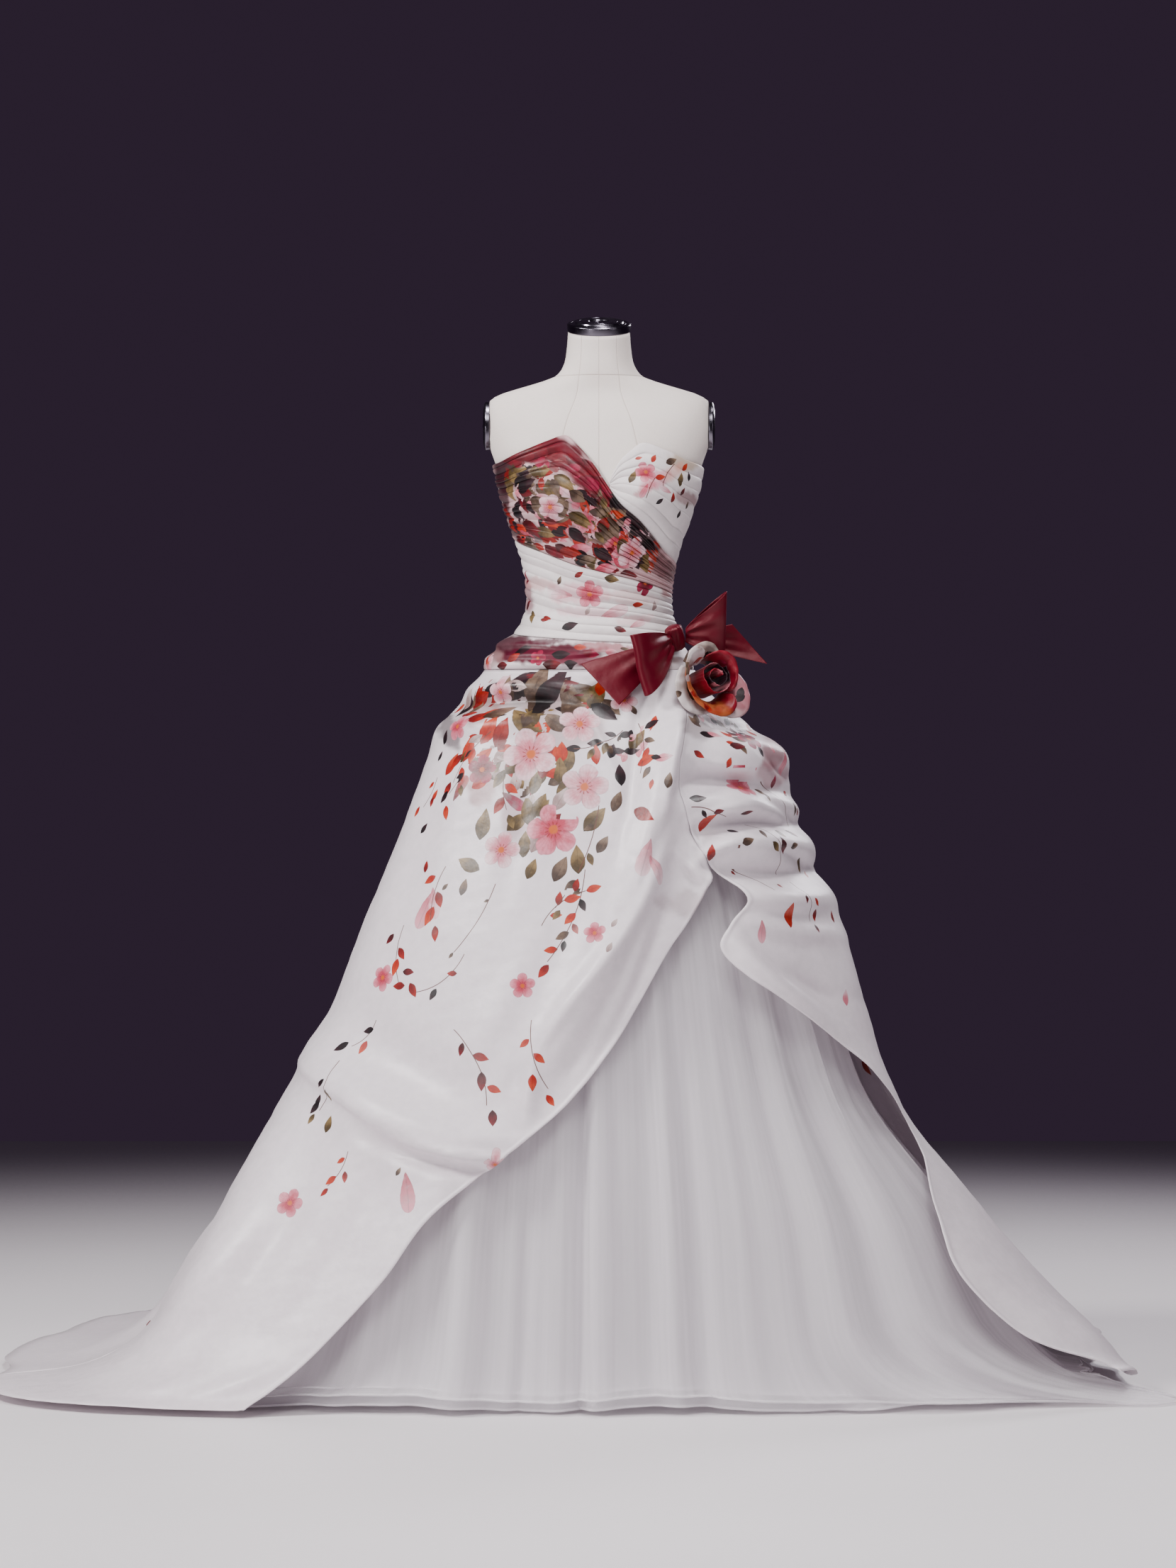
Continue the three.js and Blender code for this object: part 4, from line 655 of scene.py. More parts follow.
def faces_of(columns, rows, closed):
    """The grid's quads, turned so that they face out when across runs right and down runs down."""
    i = np.arange(columns if closed else columns - 1)[:, None]
    j = np.arange(rows - 1)[None, :]
    right = (i + 1) % columns
    quads = [i * rows + j, i * rows + j + 1, right * rows + j + 1, right * rows + j]
    return np.stack([np.broadcast_to(q, (len(i), rows - 1)) for q in quads], -1).reshape(-1, 4)


class Cloth:
    """A grid of points with its faces, its flat measures for the weave, and its print."""

    def __init__(self, name, points, closed=False):
        self.name, self.points, self.closed = name, points, closed
        self.columns, self.rows = points.shape[:2]
        self.flat = points.reshape(-1, 3)
        self.faces = faces_of(self.columns, self.rows, closed)
        self.middles = self.flat[self.faces].mean(1)
        self.normals = normals_of(points, closed).reshape(-1, 3)
        self.facing = self.normals[self.faces].mean(1)
        self.cell = float(np.median(np.linalg.norm(np.diff(points, axis=1), axis=-1)))
        self.wash = np.ones((len(self.flat), 4))
        self.marks = [np.zeros((len(self.faces), 4, 3)) for _ in range(PRINT_LAYERS)]

    def shares_across(self):
        """From 0 in the first column to 1 in the last."""
        return grid(self.columns, self.rows)[0]

    def shares_down(self):
        """From 0 in the top row to 1 in the lowest."""
        return grid(self.columns, self.rows)[1]

    def corner_measures(self):
        """How far each face's corners lie across and down the cloth, in metres."""
        steps = [np.linalg.norm(np.diff(self.points, axis=k), axis=-1).mean(1 - k) for k in (0, 1)]
        s, t = [np.concatenate([[0], np.cumsum(step)]) for step in steps]
        i, j = self.faces // self.rows, self.faces % self.rows
        across = s[i]
        if self.closed:
            step = s[-1] / (len(s) - 1)
            across = np.where((i == 0) & (i.max(1, keepdims=True) > 1), s[-1] + step, across)
        return np.stack([across, t[j]], -1) * MM

    def spot(self, x, z):
        """The grid point that shows nearest to a place in the front view, on its front-most fold."""
        gap = np.hypot(self.flat[:, 0] - x, self.flat[:, 2] - z)
        close = (gap < gap.min() + 4) & (self.normals[:, 1] < 0.3)
        depth = np.where(close, self.flat[:, 1], np.inf)
        k = int(np.argmin(depth)) if close.any() else int(np.argmin(gap))
        return k, gap.min()

    def paint(self, colour, amount):
        """Mixes a colour into the wash by an amount at each point."""
        amount = np.clip(np.asarray(amount).reshape(-1, 1), 0, 1)
        self.wash[:, :3] = lerp(self.wash[:, :3], dyed(colour), amount)

    def blot(self, x, z, wide, high, turn, colour, strength, seed=1):
        """A soft watercolour blot in the front view: an ellipse whose edge is broken by noise."""
        dx, dz = self.flat[:, 0] - x, self.flat[:, 2] - z
        a = math.radians(turn)
        along_it = (dx * math.cos(a) + dz * math.sin(a)) / wide
        off_it = (dz * math.cos(a) - dx * math.sin(a)) / high
        rough = 0.35 * noise(self.flat[:, 0], self.flat[:, 2], seed, min(wide, high) * 1.3)
        inside = 1 - (np.hypot(along_it, off_it) + rough)
        self.paint(colour, strength * smooth(inside, -0.2, 0.25) * (self.normals[:, 1] < 0.35))


def linear(colour):
    """A screen colour of 0 to 255 as light."""
    c = np.array(colour, float) / 255
    return np.where(c <= 0.04045, c / 12.92, ((c + 0.055) / 1.055) ** 2.4)


def dyed(colour):
    """A print colour as light, a little deeper than it looks on a screen."""
    return linear(colour) ** 1.3


def opaque(colour, share=1.0):
    """A screen colour for a shader's socket."""
    return (*(linear(colour) * share), 1)


def stamp(cloths, kind, x, z, turn, length, ink, bend=0.0, at=None):
    """Prints one mark. Each face near it keeps its corners' places on the mark: along it, and across it.

    The mark's frame is the cloth's own plane at the mark's middle. A face can hold a mark in each layer,
    and the mark takes the layer where the fewest of its faces are taken. Large blossoms have the last one.
    """
    if at is None:
        near = min(cloths, key=lambda cloth: cloth.spot(x, z)[1])
        k = near.spot(x, z)[0]
    else:
        near, k = at
    middle, normal = near.flat[k], near.normals[k]
    a = math.radians(turn)
    level = np.cross([0, 0, 1.0], normal)
    level /= np.linalg.norm(level)
    upward = np.cross(normal, level)
    ahead = level * math.cos(a) + upward * math.sin(a)
    if normal[1] < -0.25:
        ahead = np.array([math.cos(a), 0, math.sin(a)])
        ahead -= ahead @ normal * normal
        ahead /= np.linalg.norm(ahead)
    beside = np.cross(normal, ahead)
    half = length / 2
    unit = STEM_UNIT if kind == STEM else half
    spread = abs(bend) + 3 if kind == STEM else SPREAD[kind] * half
    share = 0.5 + bend / (20 * STEM_UNIT) if kind == STEM else (ink + 0.5) / len(INKS)
    for cloth in cloths:
        off = cloth.middles - middle
        cell = 1.2 * cloth.cell
        inside = (np.abs(off @ ahead) < half + cell) & (np.abs(off @ beside) < spread + cell)
        inside &= (np.abs(off @ normal) < 0.7 * half + 14) & (cloth.facing @ normal > 0.1)
        hit = np.flatnonzero(inside)
        if not len(hit):
            continue
        corners = cloth.flat[cloth.faces[hit]] - middle
        place = [corners @ ahead / half, corners @ beside / unit, np.full(corners.shape[:2], kind + share)]
        layers = cloth.marks[-1:] if kind == BLOSSOM and length > LARGE else cloth.marks[:-1]
        layer = min(layers, key=lambda marks: (marks[hit, 0, 2] > 0).sum())
        free = layer[hit, 0, 2] == 0
        layer[hit[free]] = np.stack(place, -1)[free]


def sprig(cloths, x, z, turn, length, bend, leaves, size, inks):
    """A bent stem with leaves by turns on its two sides and one at its end."""
    a = math.radians(turn)
    way, side = np.array([math.cos(a), math.sin(a)]), np.array([-math.sin(a), math.cos(a)])
    middle = np.array([x, z]) + way * length / 2
    stamp(cloths, STEM, *middle, turn, length, 0, bend)
    for k in range(leaves):
        t = 1 if k == leaves - 1 else 0.2 + 0.75 * k / max(leaves - 1, 1)
        foot = np.array([x, z]) + way * length * t + side * bend * (1 - (2 * t - 1) ** 2)
        swing = 0 if t == 1 else (52 - 14 * (k % 3)) * (1 if k % 2 else -1)
        leaf = size * (0.8 + 0.3 * ((k * 7) % 5) / 4)
        lean = turn + swing - math.degrees(math.atan2(4 * bend * (2 * t - 1), length))
        b = math.radians(lean)
        tip = foot + np.array([math.cos(b), math.sin(b)]) * leaf * 0.52
        stamp(cloths, LEAF, *tip, lean, leaf, inks[k % len(inks)])


def build_mesh(name, points, faces):
    """A mesh object from points in millimetres and rows of corners."""
    mesh = bpy.data.meshes.new(name)
    if isinstance(faces, np.ndarray):
        mesh.vertices.add(len(points))
        mesh.vertices.foreach_set("co", (np.asarray(points) * MM).ravel())
        mesh.loops.add(faces.size)
        mesh.loops.foreach_set("vertex_index", faces.ravel().astype(np.int32))
        mesh.polygons.add(len(faces))
        mesh.polygons.foreach_set("loop_start", np.arange(0, faces.size, faces.shape[1], dtype=np.int32))
        mesh.update(calc_edges=True)
    else:
        mesh.from_pydata((np.asarray(points) * MM).tolist(), [], faces)
    piece = bpy.data.objects.new(name, mesh)
    bpy.context.scene.collection.objects.link(piece)
    return piece


def cover(piece, material, corners=None, wash=None):
    """Gives a mesh its smooth shading and material, and a cloth its flat measures and its wash as well."""
    mesh = piece.data
    if corners is not None:
        mesh.uv_layers.new(name="measures").data.foreach_set("uv", corners.ravel())
        mesh.attributes.new("wash", "FLOAT_COLOR", "POINT").data.foreach_set("color", wash.ravel())
    mesh.polygons.foreach_set("use_smooth", np.ones(len(mesh.polygons), bool))
    mesh.materials.append(material)


def dress(piece, nodes):
    """The piece rides on the one body and stands for its CAD nodes, which it hides."""
    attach(piece, "root")
    if nodes:
        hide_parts(*nodes)


def finish_cloth(cloth, material, nodes, thick=SHEET):
    """Makes the cloth's mesh with its print and measures, gives it its thickness and dresses it."""
    piece = build_mesh(f"{cloth.name}_cloth", cloth.flat, cloth.faces)
    cover(piece, material, cloth.corner_measures(), cloth.wash)
    if material.get("printed"):
        for k, marks in enumerate(cloth.marks):
            layer = piece.data.attributes.new(f"print_{k}", "FLOAT_VECTOR", "CORNER")
            layer.data.foreach_set("vector", marks.ravel())
    if thick:
        shell = piece.modifiers.new("thickness", "SOLIDIFY")
        shell.thickness = thick * MM
        shell.offset = -1
    dress(piece, nodes)


class Shader:
    """Short calls for the nodes of one material or group."""

    def __init__(self, tree):
        self.nodes, self.links = tree.nodes, tree.links

    def node(self, kind, inputs=(), **settings):
        """A node with its settings, whose sockets get values or links."""
        made = self.nodes.new(kind)
        for name, value in settings.items():
            setattr(made, name, value)
        for socket, value in dict(inputs).items():
            if isinstance(value, bpy.types.NodeSocket):
                self.links.new(value, made.inputs[socket])
            else:
                made.inputs[socket].default_value = value
        return made

    def maths(self, operation, *values, clamp=False):
        """One operation on numbers or sockets."""
        made = self.node("ShaderNodeMath", enumerate(values), operation=operation, use_clamp=clamp)
        return made.outputs[0]

    def span(self, value, low, high, start=0.0, end=1.0):
        """The value's way from low to high, as an S-curve from start to end."""
        sockets = {"Value": value, "From Min": low, "From Max": high, "To Min": start, "To Max": end}
        made = self.node("ShaderNodeMapRange", sockets, interpolation_type="SMOOTHSTEP")
        return made.outputs[0]

    def mix(self, factor, a, b, blend="MIX"):
        """Two colours mixed: a where the factor is 0, and b where it is 1."""
        made = self.node("ShaderNodeMix", data_type="RGBA", blend_type=blend)
        for socket, value in zip((made.inputs[0], made.inputs[6], made.inputs[7]), (factor, a, b)):
            if isinstance(value, bpy.types.NodeSocket):
                self.links.new(value, socket)
            else:
                socket.default_value = value
        return made.outputs[2]

    def scaled(self, factor, colour):
        """A colour times a number."""
        made = self.node("ShaderNodeVectorMath", {0: colour, 3: factor}, operation="SCALE")
        return made.outputs[0]

    def noise(self, vector, scale, detail=2.0, rough=0.5):
        """Fractal noise from about 0.3 to 0.7."""
        sockets = {"Vector": vector, "Scale": scale, "Detail": detail, "Roughness": rough}
        return self.node("ShaderNodeTexNoise", sockets).outputs[0]

    def place(self):
        """Where a point lies in the object's own space."""
        return self.node("ShaderNodeTexCoord").outputs["Object"]

    def stored(self, name, part):
        """A value that the mesh keeps in an attribute."""
        return self.node("ShaderNodeAttribute", attribute_name=name).outputs[part]

    def measures(self, *scale):
        """The cloth's flat measures, drawn out by a scale across, down and up."""
        uv = self.node("ShaderNodeUVMap", uv_map="measures").outputs[0]
        return self.node("ShaderNodeMapping", {"Vector": uv, "Scale": scale}).outputs[0]

    def bump(self, strength, depth, height):
        """The surface's direction, tipped by the slope of a height."""
        sockets = {"Strength": strength, "Distance": depth, "Height": height}
        return self.node("ShaderNodeBump", sockets).outputs[0]

    def skin(self, colour, rough, normal, others):
        """A principled surface with what it has besides colour, roughness and bump."""
        sockets = {"Base Color": colour, "Roughness": rough, "Normal": normal, **others}
        return self.node("ShaderNodeBsdfPrincipled", sockets).outputs[0]

    def blend(self, share, a, b):
        """Two surfaces mixed: a where the share is 0, and b where it is 1."""
        return self.node("ShaderNodeMixShader", {0: share, 1: a, 2: b}).outputs[0]

    def inks(self, share, which):
        """A ramp of flat steps through the print's colours, deep or pale."""
        ramp = self.node("ShaderNodeValToRGB", {0: share})
        steps = ramp.color_ramp
        steps.interpolation = "CONSTANT"
        for k, pair in enumerate(INKS):
            step = steps.elements[k] if k < 2 else steps.elements.new(k / len(INKS))
            step.position = k / len(INKS)
            step.color = (*dyed(pair[which]), 1)
        return ramp.outputs[0]


def print_group():
    """One layer of print. From a face's place on its mark it works out how deep inside the outline a point
    lies: a leaf is a parabola on each side of its vein, a petal a half ellipse that widens to its tip, a
    blossom a circle with five lobes, and a stem a band round a parabola. The ink runs from deep to pale."""
    group = bpy.data.node_groups.new("print_layer", "ShaderNodeTree")
    for name, kind, way in [
        ("Mark", "NodeSocketVector", "INPUT"), ("Mottle", "NodeSocketFloat", "INPUT"),
        ("Under", "NodeSocketColor", "INPUT"), ("Colour", "NodeSocketColor", "OUTPUT"),
    ]:
        group.interface.new_socket(name, in_out=way, socket_type=kind)
    s = Shader(group)
    given = s.node("NodeGroupInput")
    mark, mottle, under = given.outputs[0], given.outputs[1], given.outputs[2]
    parts = s.node("ShaderNodeSeparateXYZ", {0: mark}).outputs
    kind = s.maths("FLOOR", parts[2])
    share = s.maths("FRACT", parts[2])
    rough = s.maths("SUBTRACT", mottle, 0.5)
    p = s.maths("MULTIPLY_ADD", rough, 0.16, parts[0])
    q = s.maths("MULTIPLY_ADD", rough, 0.12, parts[1])
    side = s.maths("ABSOLUTE", q)
    inside = s.maths("MAXIMUM", s.maths("SUBTRACT", 1.0, s.maths("MULTIPLY", p, p)), 0.0)
    half_leaf = s.maths("MULTIPLY", inside, s.maths("MULTIPLY_ADD", p, -0.15, 0.5))
    half_petal = s.maths("MULTIPLY", s.maths("SQRT", inside), s.maths("MULTIPLY_ADD", p, 0.2, 0.38))
    radius = s.maths("SQRT", s.maths("MULTIPLY_ADD", p, p, s.maths("MULTIPLY", q, q)))
    turn = s.maths("ARCTAN2", q, p)
    lobe = s.maths("ABSOLUTE", s.maths("COSINE", s.maths("MULTIPLY", turn, 2.5)))
    half_bloom = s.maths("MULTIPLY_ADD", s.maths("POWER", lobe, 0.55), 0.42, 0.56)
    bend = s.maths("MULTIPLY", s.maths("SUBTRACT", share, 0.5), 20.0)
    straight = s.maths("SUBTRACT", 1.0, s.maths("MULTIPLY", parts[0], parts[0]))
    off_stem = s.maths("ABSOLUTE", s.maths("SUBTRACT", parts[1], s.maths("MULTIPLY", bend, straight)))
    depths = {
        LEAF: s.maths("SUBTRACT", half_leaf, side),
        BLOSSOM: s.maths("SUBTRACT", half_bloom, radius),
        STEM: s.maths("MINIMUM", s.maths("SUBTRACT", 0.085, off_stem), straight),
        PETAL: s.maths("SUBTRACT", half_petal, side),
    }
    is_kind = {k: s.maths("COMPARE", kind, float(k), 0.3) for k in depths}
    depth = -1.0
    for k, value in depths.items():
        depth = s.maths("ADD", depth, s.maths("MULTIPLY", is_kind[k], s.maths("ADD", value, 1.0)))
    inked = s.span(depth, 0.0, 0.035)
    run = s.maths("MULTIPLY_ADD", p, 0.5, 0.5)
    run = s.maths("ADD", s.maths("MULTIPLY", run, s.maths("SUBTRACT", 1.0, is_kind[BLOSSOM])),
                  s.maths("MULTIPLY", radius, is_kind[BLOSSOM]))
    run = s.maths("MULTIPLY_ADD", rough, 1.5, run)
    colour = s.mix(s.span(run, 0.15, 1.05), s.inks(share, 0), s.inks(share, 1))
    vein = s.span(side, 0.01, 0.05, 0.74, 1.0)
    rays = s.maths("MULTIPLY_ADD", s.maths("SINE", s.maths("MULTIPLY", turn, 35.0)), 0.05, 0.95)
    parting = s.maths("MULTIPLY", s.span(lobe, 0.03, 0.3, 0.76, 1.0), rays)
    shade = s.mix(is_kind[BLOSSOM], vein, parting)
    shade = s.maths("MULTIPLY", shade, s.span(depth, 0.01, 0.09, 0.86, 1.0))
    colour = s.scaled(shade, colour)
    heart = s.maths("MULTIPLY", is_kind[BLOSSOM], s.span(radius, 0.12, 0.2, 1.0, 0.0))
    colour = s.mix(heart, colour, opaque((206, 98, 34)))
    ring = s.maths("MULTIPLY", s.span(radius, 0.16, 0.2), s.span(radius, 0.26, 0.33, 1.0, 0.0))
    dots = s.span(s.maths("COSINE", s.maths("MULTIPLY", turn, 11.0)), 0.5, 0.9)
    ring = s.maths("MULTIPLY", s.maths("MULTIPLY", ring, dots), is_kind[BLOSSOM])
    colour = s.mix(ring, colour, opaque((150, 40, 36)))
    colour = s.mix(is_kind[STEM], colour, opaque((104, 60, 50)))
    see = s.mix(is_kind[PETAL], s.span(mottle, 0.1, 0.4, 0.88, 0.99), s.span(mottle, 0.2, 0.7, 0.6, 0.95))
    s.node("NodeGroupOutput", {0: s.mix(s.maths("MULTIPLY", inked, see), under, colour)})
    return group


class Material(Shader):
    """A new material and the calls that fill it."""

    def __init__(self, name):
        self.made = bpy.data.materials.new(name)
        self.made.use_nodes = True
        self.made.node_tree.nodes.clear()
        super().__init__(self.made.node_tree)

    def closed(self, surface):
        """The material, ended in its surface."""
        self.node("ShaderNodeOutputMaterial", {0: surface})
        return self.made


def weave_of(s, fine, warp=1.0, weft=1.0):
    """The cloth's threads: noise drawn out along the warp and along the weft."""
    along_warp, along_weft = s.measures(fine, fine * 0.12, 1), s.measures(fine * 0.12, fine, 1)
    threads = s.maths("ADD", s.maths("MULTIPLY", s.noise(along_warp, 1.0), warp),
                      s.maths("MULTIPLY", s.noise(along_weft, 1.0), weft))
    return s.maths("MULTIPLY", threads, 0.5)


def silk_material(name, group, rough, gloss):
    """Printed silk: the wash, then the layers of marks, on satin with a little light coming through."""
    s = Material(name)
    s.made["printed"] = True
    threads, place = weave_of(s, 1800.0), s.place()
    mottle = s.noise(place, 70.0, 4.0, 0.6)
    colour = s.scaled(s.span(mottle, 0.3, 0.7, 0.97, 1.03), s.stored("wash", "Color"))
    for k in range(PRINT_LAYERS):
        layer = s.node("ShaderNodeGroup", node_tree=group)
        for socket, value in zip(layer.inputs, (s.stored(f"print_{k}", "Vector"), mottle, colour)):
            s.links.new(value, socket)
        colour = layer.outputs[0]
    creased = s.noise(place, 38.0, 3.0, 0.55)
    bump = s.bump(0.35, 0.0004, s.maths("MULTIPLY_ADD", creased, 6.0, threads))
    skin = s.skin(colour, s.span(threads, 0.3, 0.7, rough - 0.04, rough + 0.06), bump, {
        "Sheen Weight": 0.04, "Sheen Roughness": 0.4, "Specular IOR Level": gloss,
    })
    glow = s.node("ShaderNodeBsdfTranslucent", {"Color": colour, "Normal": bump}).outputs[0]
    return s.closed(s.blend(0.16, skin, glow))


def net_material(name, colour, least, most):
    """Fine net: a matt haze that is closer where its threads bunch along the flutes."""
    s = Material(name)
    gathers = s.noise(s.measures(26, 0.7, 1), 1.0, 3.0, 0.6)
    holes = s.noise(s.measures(1600, 1600, 1), 1.0, 1.0)
    bunched, threads = s.span(gathers, 0.3, 0.7, least, most), s.span(holes, 0.35, 0.65, -0.06, 0.06)
    seen = s.maths("ADD", bunched, threads, clamp=True)
    tint = s.mix(gathers, opaque(colour, 0.93), opaque(colour))
    matt = s.node("ShaderNodeBsdfDiffuse", {"Color": tint, "Roughness": 0.6}).outputs[0]
    glow = s.node("ShaderNodeBsdfTranslucent", {"Color": tint}).outputs[0]
    clear = s.node("ShaderNodeBsdfTransparent").outputs[0]
    return s.closed(s.blend(seen, clear, s.blend(0.45, matt, glow)))


def satin_material():
    """Burgundy satin: deep red whose gloss is drawn out across the warp."""
    s = Material("wine_satin")
    threads, place = weave_of(s, 2200.0, 1.4, 0.6), s.place()
    colour = s.mix(s.noise(place, 45.0, 3.0), opaque((72, 0, 18)), opaque((94, 1, 27)))
    bump = s.bump(0.3, 0.0004, s.maths("MULTIPLY_ADD", s.noise(place, 60.0, 2.0), 5.0, threads))
    return s.closed(s.skin(colour, s.span(threads, 0.3, 0.7, 0.34, 0.44), bump, {
        "Sheen Weight": 0.08, "Sheen Roughness": 0.4, "Sheen Tint": opaque((230, 60, 80)),
        "Specular IOR Level": 0.5, "Specular Tint": opaque((255, 190, 190)),
    }))


def linen_material():
    """The form's cover: cream linen with slubs, a little soil in its weave, and its wash for the seams."""
    s = Material("form_linen")
    threads = weave_of(s, 1500.0)
    age = s.noise(s.place(), 14.0, 4.0, 0.6)
    colour = s.mix(age, opaque((232, 220, 212)), opaque((243, 234, 228)))
    colour = s.mix(1.0, colour, s.stored("wash", "Color"), "MULTIPLY")
    colour = s.scaled(s.span(threads, 0.3, 0.7, 0.95, 1.03), colour)
    bump = s.bump(0.5, 0.0005, threads)
    return s.closed(s.skin(colour, s.span(threads, 0.3, 0.7, 0.78, 0.92), bump, {
        "Sheen Weight": 0.15, "Specular IOR Level": 0.3,
    }))


def metal_material(name, colour, rough):
    """Dark polished metal with faint turning marks and a few smudges."""
    s = Material(name)
    place = s.place()
    smudge = s.noise(place, 60.0, 4.0, 0.6)
    turning = s.node("ShaderNodeMapping", {"Vector": place, "Scale": (1, 1, 12)}).outputs[0]
    tint = s.mix(smudge, opaque(colour, 0.85), opaque(colour))
    bump = s.bump(0.08, 0.0002, s.noise(turning, 300.0))
    return s.closed(s.skin(tint, s.span(smudge, 0.3, 0.7, rough, rough + 0.12), bump, {"Metallic": 1.0}))


def spaced(lines, within):
    """Rows for a pleated piece: each pleat between two lines gets the same shares within it."""
    lines = np.array(lines, float)
    inner = lines[:-1, None] + np.diff(lines)[:, None] * np.array(within)[None, :]
    return np.append(inner.ravel(), lines[-1])


def pleated(rows, lines, sharp=2.4):
    """A pleat's roundness between each two lines: 0 on a line and 1 on the pleat's back."""
    k = np.clip(np.searchsorted(lines, rows, "right") - 1, 0, len(lines) - 2)
    lines = np.array(lines)
    s = (rows - lines[k]) / (lines[k + 1] - lines[k])
    return np.maximum(1 - np.abs(2 * (s**0.8) - 1) ** sharp, 0) ** 0.6


def bodice_panel(name, start, end, columns, lines, pleats, top, foot, deep, wander):
    """A pleated panel on the form, between the heights of its top and foot at each angle.

    It stands off by the frame's pleats, a rounded step for each finer one, and two kinds of soft noise,
    and the pleats' lines wander up and down by a third.
    """
    share = np.linspace(0, 1, columns)[:, None]
    rows = spaced(lines, PLEAT_ROWS)[None, :]
    degrees = lerp(start, end, share)
    down = rows + wander * noise(share * 300, rows * 90, len(name), 90) * np.sin(math.pi * rows)
    z = lerp(along(top, degrees)[0], along(foot, degrees)[0] + 1.5 * SEAM, down)
    surface = bodice_point(np.radians(degrees) + 0 * rows, z)
    fullness = 0.7 + 0.3 * noise(share * 300, rows * 400, len(name) + 7, 120)
    fine = deep * (pleated(rows, lines) - 0.62) * fullness
    lift = along(pleats, rows)[0] * (1 - 0.5 * (2 * share - 1) ** 6)
    ripple = 0.35 * noise(surface[..., 0], surface[..., 2], len(name) + 3, 16)
    return Cloth(name, moved_out(surface, ON_FORM + CLOTH + lift + fine + ripple, level=1.0))


def make_bodice():
    """The three pleated front panels and the two plain back ones."""
    left, right = -90 + SIDE_GAP, 90 - SIDE_GAP
    panels = [
        ("bodice_wrap", left, right, 190, WRAP_LINES, WRAP_PLEATS, WRAP_TOP, WRAP_FOOT, 4.4, 0.016),
        ("bodice_cup", 9, right, 90, CUP_LINES, CUP_PLEATS, CUP_TOP, WRAP_TOP, 3.2, 0.02),
        ("bodice_waist", left, right, 176, WAIST_LINES, WAIST_PLEATS, WRAP_FOOT, WAIST_FOOT, 3.8, 0.03),
    ]
    fronts = [bodice_panel(*row) for row in panels]
    backs = []
    for word, start in (("right", 90), ("left", 180)):
        rows = np.linspace(0, 1, 70)[None, :]
        degrees = lerp(start + SIDE_GAP, start + 90 - SIDE_GAP, np.linspace(0, 1, 60)[:, None])
        z = lerp(along(BACK_TOP, degrees)[0], along(WAIST_FOOT, degrees)[0] + 1.5 * SEAM, rows)
        surface = bodice_point(np.radians(degrees) + 0 * rows, z)
        drag = 0.7 * noise(surface[..., 0] + surface[..., 2] * 0.6, surface[..., 2] * 2, 5, 70)
        out = ON_FORM + CLOTH + along(BACK_PLEATS, rows)[0] + drag * np.sin(math.pi * rows)
        backs.append(Cloth(f"bodice_back_{word}", moved_out(surface, out, level=1.0)))
    return fronts, backs


def make_hip_band():
    """The band all round the hip, with slanting tucks that are deepest at the left front."""
    angle = np.linspace(-math.pi / 2, 1.5 * math.pi, 300, endpoint=False)[:, None]
    down = np.linspace(0, 1, 28)[None, :]
    sway = 2.6 * down + 0.35 * np.sin(2 * angle + 1) + 0.15 * np.sin(5 * angle)
    tucks = (0.8 + 1.5 * left_front(angle)) * np.sin(FULL_TURN * sway) * np.sin(math.pi * down) ** 0.7
    points = hip_point(angle + 0 * down, down + 0 * angle, tucks)
    return Cloth("hip_drape", moved_out(points, CLOTH, closed=True, level=1.0), closed=True)


def edge_angle(column, fall):
    """The angle of one of the opening's edges at each fall."""
    z = along(SKIRT_SECTIONS, fall)[0]
    return angle_across(along(OPENING, z)[column], fall)


def make_overskirt():
    """The four panels: at each fall the angle runs evenly from one edge to the other.

    Each point is moved out by the cloth's wall, by noise, and near a free edge by a bell that rolls it out.
    """
    gap, left, right = SEAM_GAP, math.radians(SIDE_SEAM_LEFT), math.radians(SIDE_SEAM_RIGHT)
    panels = [
        ("front_left", lambda v: left + gap + 0 * v, lambda v: edge_angle(0, v), 200, 228, 1),
        ("front_right", lambda v: edge_angle(1, v), lambda v: right - gap + 0 * v, 154, 228, 0),
        ("back_left", lambda v: gap - math.pi + 0 * v, lambda v: left - gap + 0 * v, 104, 130, None),
        ("back_right", lambda v: right + gap + 0 * v, lambda v: math.pi - gap + 0 * v, 104, 130, None),
    ]
    made = []
    for name, start, end, columns, rows, free in panels:
        share, down = grid(columns, rows)
        angle = lerp(start(down[0])[None, :], end(down[0])[None, :], share)
        surface = skirt_point(angle, down, fine=1.0)
        x, y, z = np.moveaxis(surface, -1, 0)
        uneven = noise(x + 0.4 * y, z + 0.3 * y, 11, 150) + 0.35 * noise(x, z + y, 12, 46)
        out = CLOTH + 1.7 * uneven * smooth(down, 0.01, 0.1)
        if free is not None:
            off = np.linalg.norm(surface - surface[-1 if free else 0][None], axis=-1)
            out = out + 1.8 * np.exp(-((off - 4) / 4) ** 2) * smooth(down, 0.2, 0.35)
        level = 1 - smooth(down, 0, 0.07)
        made.append(Cloth(f"overskirt_{name}", moved_out(surface, out, level=level)))
    return made


def with_rolled_hem(points, radius):
    """Adds seven rows on a circle of the given radius, so that the hem rolls out and up into a thin tube."""
    outward = normals_of(points, True)[:, -1]
    outward[:, 2] = 0
    outward /= np.linalg.norm(outward, axis=-1, keepdims=True)
    rows = []
    for k in range(1, 8):
        a = math.radians(48 * k)
        rows.append(points[:, -1] + radius * ((1 - math.cos(a)) * outward - [0, 0, math.sin(a)]))
    return np.concatenate([points, np.stack(rows, 1)], 1)


